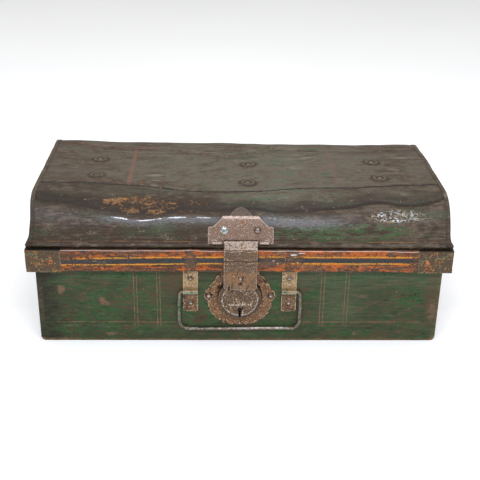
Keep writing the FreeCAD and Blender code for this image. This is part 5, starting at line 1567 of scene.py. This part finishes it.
@dataclass
class Hasp:
    """The hasp: a bent plate on the lid, its pin, and the strap that falls over the lock.

    Attributes:
        plate_border, strap_border: width of the rubbed edges, mm.
        bend_depth, bend_height: the axis that the plate is bent round, mm.
        bend_radius: distance from that axis past which its outer skin lies, mm.
        fixing_x, fixing_z: distance of the screw and the rivet from the middle, and their height, mm.
        head_z: height of the rivet's head, mm.
        staple_z, hole_z: heights of the staple's head and the empty hole in the strap, mm.
        ridges: the strap's pressed ridges, (height, width, rise) in mm.
        rubbed, dirty: heights of the strap's lighter ridge crests, a painted highlight that also stands for
            rubbing, and of the grooves below them that get painted shade, and how strongly.
    """

    plate_border: float = 1.1
    strap_border: float = 0.7
    bend_depth: float = -104.0
    bend_height: float = 172.0
    bend_radius: float = 56.9
    fixing_x: float = 24.0
    fixing_z: float = 186.5
    head_z: float = 187.5
    staple_z: float = 113.5
    hole_z: float = 104.6
    ridges: tuple[tuple[float, float, float], ...] = (
        (157.6, 1.6, 0.5), (145.0, 1.6, 0.8), (138.6, 1.4, 0.5), (132.2, 1.6, 0.8))
    rubbed: tuple[tuple[float, float], ...] = ((157.8, 1.2), (145.2, 0.95), (138.6, 0.6), (132.2, 0.9))
    shaded_grooves: tuple[tuple[float, float], ...] = ((155.6, 0.6), (142.2, 0.85), (135.4, 0.6), (129.0, 0.5))

    def build(self) -> None:
        """Makes the plate and the strap and dresses the small pieces."""
        self.build_plate()
        self.build_strap()
        rub_and_highlight_heads("hasp_staple", Body.HASP, ((0.0, self.staple_z),), 2.2)
        rub_and_highlight_heads("hasp_rivet", Body.LID, ((self.fixing_x, self.head_z),), 4.2)
        dress(Finish.RIVET, "hasp_pin")
        dress(Finish.ZINC, "hasp_screw", "hasp_nut")

    def on_outside(self, face: bmesh.types.BMFace) -> bool:
        """Says whether a face is on the plate's outside.

        Args:
            face: a face of the plate.

        Returns:
            True for a face on its outer skin that looks outwards.
        """
        middle = face.calc_center_median() / MM
        if middle.z < self.bend_height:
            skin = -middle.y > 161.0
            out = Vector((0, -1, 0))
        else:
            out = Vector((0, middle.y - self.bend_depth, middle.z - self.bend_height))
            skin = out.length > self.bend_radius
        return skin and face.normal.dot(out.normalized()) > 0.8 and abs(middle.y) < 162.4

    def build_plate(self) -> None:
        """Works a copy of the plate: rubbed border, light hammering, painted shade on the crest and along the
        bridge, painted highlights on the bridge and the neck.
        """
        plate = Workpiece.copy_of("hasp_plate")
        plate.rub_edges(self.plate_border, self.on_outside)
        plate.slice(3.0, Axis.LENGTH, Axis.HEIGHT)
        x, y, z = plate.points()
        plate.move(x, y - 0.12 * Ripple(9.0, 61).at(x, z) * step(z, 173.0, 178.0), z)
        # Painted shade: the crest that tips away from the light, and dark lines along the roll and under the
        # bridge; dark rings round the rivet and the screw
        crest = 0.7 * step(z, 204.5, 206.5)
        roll = 0.85 * bump(z - 172.6, 1.0) * (np.abs(x) < 31)
        rivet = 0.6 * ring(x, z, (self.fixing_x, self.fixing_z), 6.8, 1.6)
        screw = 0.5 * ring(x, z, (-self.fixing_x, self.fixing_z), 7.2, 1.6)
        bridge = (np.abs(x) > 27) * (np.abs(x) < 41.5)
        plate.mask("dirt_and_shade", crest, roll, rivet, screw, 0.8 * bump(z - 165.9, 1.0) * bridge)
        # Painted highlights along the bridges over the pin and on the bend at the neck
        plate.mask("wear_and_highlight", 1.9 * bump(z - 169.4, 1.4) * bridge, 2.0 * bump(z - 203.8, 1.5))
        plate.hang("worn_hasp_plate", Body.LID, "hasp_plate", "rusted_steel", Finish.HASP)

    def build_strap(self) -> None:
        """Works a copy of the strap: pressed ridges, rubbed border, painted shade below the ridges and
        painted highlights on them.
        """
        strap = Workpiece.copy_of("hasp_strap")
        strap.rub_edges(self.strap_border, lambda f: f.normal.y < -0.5 and f.calc_center_median().y < -0.1645)
        strap.slice(1.1, Axis.HEIGHT)
        strap.slice(2.0, Axis.LENGTH)
        x, y, z = strap.points()
        pressed = 0.14 * Ripple(11.0, 63).at(x, z) + 0.08 * Ripple(5.0, 64).at(x * 0.3, z)
        for height, width, proud in self.ridges:
            pressed += proud * bump(z - height - 0.5 * np.sin(x / 9.0), width)
        strap.move(x, y - pressed * step(z, 158.0, 155.0) * step(z, 100.0, 116.0), z)
        # Painted shade below each ridge and in the empty hole, a dark ring round the staple, dirt in smudges
        # and low down; painted highlights on the top bend and the ridge crests
        wave = z + 0.8 * Ripple(30.0, 65).at(x)
        grooves = [strength * bump(wave - height, 1.5) for height, strength in self.shaded_grooves]
        smudge = 0.37 * np.abs(Ripple(7.0, 66).at(x, z * 0.25)) * step(z, 128.0, 122.0)
        hole = 1.4 * ring(x, z, (0.0, self.hole_z), 0.0, 3.4)
        staple = 0.45 * ring(x, z, (0.0, self.staple_z), 4.2, 1.2)
        foot = 0.16 * step(z, 112.0, 98.0)
        strap.mask("dirt_and_shade", 0.5 * bump(wave - 151.0, 4.5), *grooves, smudge + foot, hole, staple)
        strap.mask("rust", 0.74 * step(z, 134.0, 120.0))
        crests = [strength * bump(wave - height, 1.0) for height, strength in self.rubbed]
        strap.mask("wear_and_highlight", 1.5 * step(z, 158.5, 162.5), *crests)
        strap.hang("ridged_hasp_strap", Body.HASP, "hasp_strap", "rusted_steel", Finish.STRAP)


@dataclass
class LockSet:
    """The lock: a hammered plate under a round case, and the works inside it.

    Attributes:
        centre_z: height of the case's middle, mm.
        bar_z, bar_half: height and half length of the pressed bar, mm.
        key_z, slot_z: heights of the middles of the keyhole's round and its slot, mm.
        hole_z: height at which the case shows through the strap's empty hole, mm.
        rivets: the plate's rivets, (x, z) in mm.
        tarnish: dark patches on the case, (x, z).
    """

    centre_z: float = 77.0
    bar_z: float = 68.5
    bar_half: float = 15.4
    key_z: float = 59.7
    slot_z: float = 53.7
    hole_z: float = 104.0
    rivets: tuple[tuple[float, float], ...] = ((-46.5, 78.7), (46.5, 78.7), (0.0, 32.0))
    tarnish: tuple[Patch, ...] = patches(
        (-12.0, 85.0, 10.0, 8.0), (9.0, 84.0, 14.0, 5.5), (-20.0, 73.0, 5.0, 8.0, 0.8),
        (13.0, 62.0, 7.0, 5.0, 0.8), (-1.0, 77.0, 5.0, 4.0, 0.9), (0.0, 60.0, 4.0, 6.0, 1.2),
        (18.0, 74.0, 4.0, 5.0, 0.6))

    def build(self) -> None:
        """Makes the plate and the case and dresses the works."""
        self.build_plate()
        self.build_case()
        rub_and_highlight_heads("lock_rivets", Body.BOX, self.rivets)
        dress(Finish.BARE, "lock_bolt", "lock_guide_pins", "lock_spring")
        dress(Finish.HINGE, "lock_key_post")

    def build_plate(self) -> None:
        """Hammers a copy of the plate all over, wears its outline and darkens it round the case's foot."""
        plate = Workpiece.copy_of("lock_plate")
        plate.rub_edges(1.2, lambda f: f.normal.y < -0.9)
        plate.slice(2.6, Axis.LENGTH, Axis.HEIGHT)
        x, y, z = plate.points()
        y = y - np.where(y < -156.6, 0.42 * Ripple(7.0, 71).at(x, z) - 0.3, 0)
        away = np.hypot(x, z - self.centre_z)
        drawn_in = np.where(away > 44.0, 1 - 0.2 * (away - 44.0) / away, 1.0)
        drawn_in -= 0.009 * (1 + Ripple(6.0, 74).at(x, z)) * step(away, 45.0, 50.0)
        z = np.where(z < 118.0, self.centre_z + (z - self.centre_z) * drawn_in, z)
        plate.move(x * drawn_in, y, z)
        # Darker round the foot of the case
        plate.mask("dirt_and_shade", 0.85 * step(away, 35.5, 33.2))
        plate.hang("hammered_lock_plate", Body.BOX, "lock_plate", "rusted_steel", Finish.LOCK_PLATE, 60.0)

    def build_case(self) -> None:
        """Dents a copy of the round case, and paints a highlight on its rounded rim and bar, shadow round its
        rims, shade in its keyhole and where the strap's hole shows it, and tarnish.
        """
        case = Workpiece.copy_of("lock_case", joined=False)
        case.slice(1.6, Axis.LENGTH, Axis.HEIGHT)
        x, y, z = case.points()
        away = np.hypot(x, z - self.centre_z)
        face = step(y, -166.0, -166.8)
        case.move(x, y + 0.1 * Ripple(11.0, 73).at(x, z) * step(away, 32.0, 20.0) * face, z)
        bar = 2.6 * bump(z - self.bar_z, 1.5) * (np.abs(x) < self.bar_half)
        # Painted highlight on the rounded rim and along the pressed bar
        case.mask("edge", 1.1 * bump(away - 26.0, 1.3), bar)
        # Painted shadow round the rims, and painted shade in the keyhole and behind the strap's empty hole;
        # the tarnish patches are real
        rims = strongest(0.8 * bump(away - 29.4, 1.6), 0.9 * bump(away - 33.0, 1.2))
        tarnish = 0.5 * covered(self.tarnish, x, z) * step(away, 27.0, 23.0) * (np.abs(z - self.bar_z) > 2.2)
        behind_hole = 1.4 * step(np.hypot(x, z - self.hole_z), 5.5, 4.0)
        slot = strongest(np.abs(x) - 1.2, np.abs(z - self.slot_z) - 6.0)
        keyhole = np.minimum(np.hypot(x, z - self.key_z) - 2.9, slot)
        case.mask("dirt_and_shade", rims, tarnish, behind_hole, 1.2 * step(keyhole, 1.6, 0.3))
        case.hang("worn_lock_case", Body.BOX, "lock_case", "rusted_steel", Finish.LOCK_CASE, 40.0)


@dataclass
class WireHandle:
    """The wire bail and the two brackets that hold it.

    Attributes:
        bracket_x: distance of each bracket's middle from the trunk's, mm.
        rivets_z: heights of each bracket's rivets, mm.
        arch_z: height of the arches that the bail turns in, mm.
        paint_left: where the left bracket's strip keeps its paint, (x, z).
    """

    bracket_x: float = 73.5
    rivets_z: tuple[float, float] = (107.5, 66.0)
    arch_z: float = 86.0
    paint_left: tuple[Patch, ...] = patches((-82.0, 104.0, 3.0, 9.0), (-66.0, 92.0, 5.0, 3.0))

    def build(self) -> None:
        """Makes the bail and both brackets, and lightens the crowns of their rivets."""
        self.build_bail()
        for side in ("left", "right"):
            self.build_loop(side)
        heads = tuple((x, z) for x in (-self.bracket_x, self.bracket_x) for z in self.rivets_z)
        rub_and_highlight_heads("handle_rivets", Body.BOX, heads)

    def build_bail(self) -> None:
        """Bends a copy of the wire a little and paints its masks."""
        bail = Workpiece.copy_of("handle_bail")
        bail.slice(6.0, Axis.LENGTH, Axis.HEIGHT)
        x, y, z = bail.points()
        leg = 0.9 * step(np.abs(x), 60.0, 88.0) * step(z, 84.0, 70.0)
        x = x + leg * np.sign(x) * np.sin((z - 20.0) / 66.0 * math.pi)
        z = z + 0.7 * np.sin(x / 34.0) * step(z, 34.0, 26.0) * step(np.abs(x), 80.0, 66.0)
        bail.move(x, y, z)
        bail.mask("paint", 0.75 * step(z, 32.0, 44.0) * (x < -80))
        bail.mask("rust", 0.5 * step(z, 28.0, 40.0) * (x > 80))
        # Painted highlight along the top of the grip, with polish; painted shade on its underside and its
        # back
        bail.mask("edge", step(z, 22.6, 24.6) * step(np.abs(x), 86.0, 74.0))
        bail.mask("dirt_and_shade", 0.8 * step(z, 22.6, 20.8), 0.5 * step(y, -158.6, -157.2))
        bail.hang("bent_wire_bail", Body.HANDLE, "handle_bail", "bare_steel", Finish.BAIL, 60.0)

    def build_loop(self, side: str) -> None:
        """Works a copy of one bracket: rubbed border, paint left on its arch.

        Args:
            side: which bracket, as in the CAD node's name.
        """
        node = "handle_loop_" + side
        loop = Workpiece.copy_of(node)
        loop.rub_edges(0.9, lambda f: f.normal.y < -0.8 and f.calc_center_median().y < -0.157)
        loop.slice(2.0, Axis.HEIGHT)
        loop.slice(3.0, Axis.LENGTH)
        x, y, z = loop.points()
        loop.move(x, y - 0.1 * Ripple(9.0, 81).at(x, z) * (np.abs(z - self.arch_z) > 8), z)
        loop.mask("paint", 0.8 * bump(z - self.arch_z, 4.0), 0.7 * covered(self.paint_left, x, z))
        loop.mask("rust", 1.1 * step(z, 82.0, 78.0), 0.45 * step(z, 116.0, 126.0))
        loop.mask("wear_and_highlight", 0.75 * step(z, 91.0, 94.0) * step(z, 122.0, 116.0))
        # Painted shade in dark lines under and over the arch, and dark rings round the rivets
        rims = [0.75 * ring(np.abs(x), z, (self.bracket_x, height), 4.6, 1.4) for height in self.rivets_z]
        loop.mask("dirt_and_shade", 0.9 * bump(z - 80.4, 1.5), 0.5 * bump(z - 91.6, 1.3), *rims)
        loop.hang("rubbed_bracket_" + side, Body.BOX, node, "clip_paint", Finish.LOOP)


class BackHinges:
    """The two hinges on the back, their pins and rivets."""

    def build(self) -> None:
        """Works a copy of each leaf and dresses the pins and rivets."""
        for side in ("left", "right"):
            for part, body in (("body", Body.BOX), ("lid", Body.LID)):
                node = f"hinge_{part}_leaf_{side}"
                leaf = Workpiece.copy_of(node)
                leaf.rub_edges(1.2, lambda f: f.normal.y > 0.9)
                x, y, z = leaf.points()
                leaf.move(x, np.minimum(y, box_mm(node)[1][1]), z)
                leaf.hang(f"rusty_{part}_leaf_{side}", body, node, "rusted_steel", Finish.HINGE)
        dress(Finish.BARE, "hinge_pin_left", "hinge_pin_right")
        dress(Finish.RIVET, "hinge_body_rivets", "hinge_lid_rivets")


@dataclass
class Studio:
    """A pale floor, soft lights and the camera.

    Attributes:
        frame_pixels: the frame's width in pixels.
        focal_pixels: the lens in the same pixels.
        sensor: the sensor's width, mm.
        pitch, yaw, roll: the camera's angles, degrees.
        place: the camera's place, metres.
        aim: what the lights face, metres.
    """

    frame_pixels: float = 480.0
    focal_pixels: float = 897.3
    sensor: float = 36.0
    pitch: float = 25.32
    yaw: float = -1.73
    roll: float = 0.96
    place: tuple[float, float, float] = (-0.0366, -1.3345, 0.7279)
    aim: tuple[float, float, float] = (0.0, 0.0, 0.15)

    def build(self) -> None:
        """Sets up the stage."""
        self.floor()
        self.camera()
        self.lights()

    def floor(self) -> None:
        """Lays a wide matt floor just under the trunk."""
        bm = bmesh.new()
        bmesh.ops.create_grid(bm, x_segments=2, y_segments=2, size=30.0)
        mesh = bpy.data.meshes.new("floor")
        bm.to_mesh(mesh)
        bm.free()
        # Matt coated paper: an even white without any gloss
        coat = Coat("matt_paper_backdrop")
        haze = coat.grain((900.0, 900.0, 900.0), detail=2.0)
        colour = coat.cover("#fbfbfa", "#fdfdfc", haze, 0.4, 0.6)
        mesh.materials.append(coat.seal(colour, 0.9, 0.0, haze, 0.01, Emission_Strength=0.12))
        floor = bpy.data.objects.new("floor", mesh)
        bpy.context.scene.collection.objects.link(floor)

    def camera(self) -> None:
        """Puts the camera where the photograph was taken from."""
        pitch, yaw, roll = (math.radians(a) for a in (self.pitch, self.yaw, self.roll))
        flat = math.cos(pitch)
        forward = Vector((-math.sin(yaw) * flat, math.cos(yaw) * flat, -math.sin(pitch)))
        level = Vector((math.cos(yaw), math.sin(yaw), 0.0))
        upright = level.cross(forward)
        right = math.cos(roll) * level + math.sin(roll) * upright
        up = -math.sin(roll) * level + math.cos(roll) * upright
        data = bpy.data.cameras.new("camera")
        data.sensor_width = self.sensor
        data.lens = self.focal_pixels / self.frame_pixels * self.sensor
        data.clip_end = 100.0
        camera = bpy.data.objects.new("camera", data)
        turn = Matrix((right, up, -forward)).transposed().to_4x4()
        camera.matrix_world = Matrix.Translation(self.place) @ turn
        bpy.context.scene.collection.objects.link(camera)
        bpy.context.scene.camera = camera

    def lights(self) -> None:
        """Sets a long strip light in front, a soft box overhead and a pale surround."""
        self.soft_box("front_strip", (0.0, -1.75, 1.95), (3.2, 0.12), 52.0, "#eef2ff")
        self.soft_box("overhead_box", (0.0, 0.3, 2.6), (3.0, 2.2), 30.0, "#ffffff")
        world = bpy.data.worlds.new("pale_surround")
        world.use_nodes = True
        back = world.node_tree.nodes["Background"]
        back.inputs["Color"].default_value = linear("#ffffff")
        back.inputs["Strength"].default_value = 0.52
        bpy.context.scene.world = world

    def soft_box(self, name: str, place: tuple[float, float, float], size: tuple[float, float],
                 power: float, hex_code: str) -> None:
        """Hangs a rectangular light that faces the trunk.

        Args:
            name: the light's name.
            place: its centre, metres.
            size: its width along X and its height, metres.
            power: watts.
            hex_code: its colour.
        """
        data = bpy.data.lights.new(name, "AREA")
        data.shape = "RECTANGLE"
        data.size, data.size_y = size
        data.energy = power
        data.color = linear(hex_code)[:3]
        light = bpy.data.objects.new(name, data)
        light.location = place
        way = Vector(self.aim) - Vector(place)
        light.rotation_euler = way.to_track_quat("-Z", "Y").to_euler()
        bpy.context.scene.collection.objects.link(light)


def main() -> None:
    logging.basicConfig(level=logging.INFO, format="%(message)s")
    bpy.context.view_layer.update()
    for assembly in (LidShell, EndCaps, SkirtBand, BoxWalls, Hasp, LockSet, WireHandle, BackHinges, Studio):
        assembly().build()
    bpy.context.scene.view_settings.view_transform = "Standard"


if __name__ == "__main__":
    main()
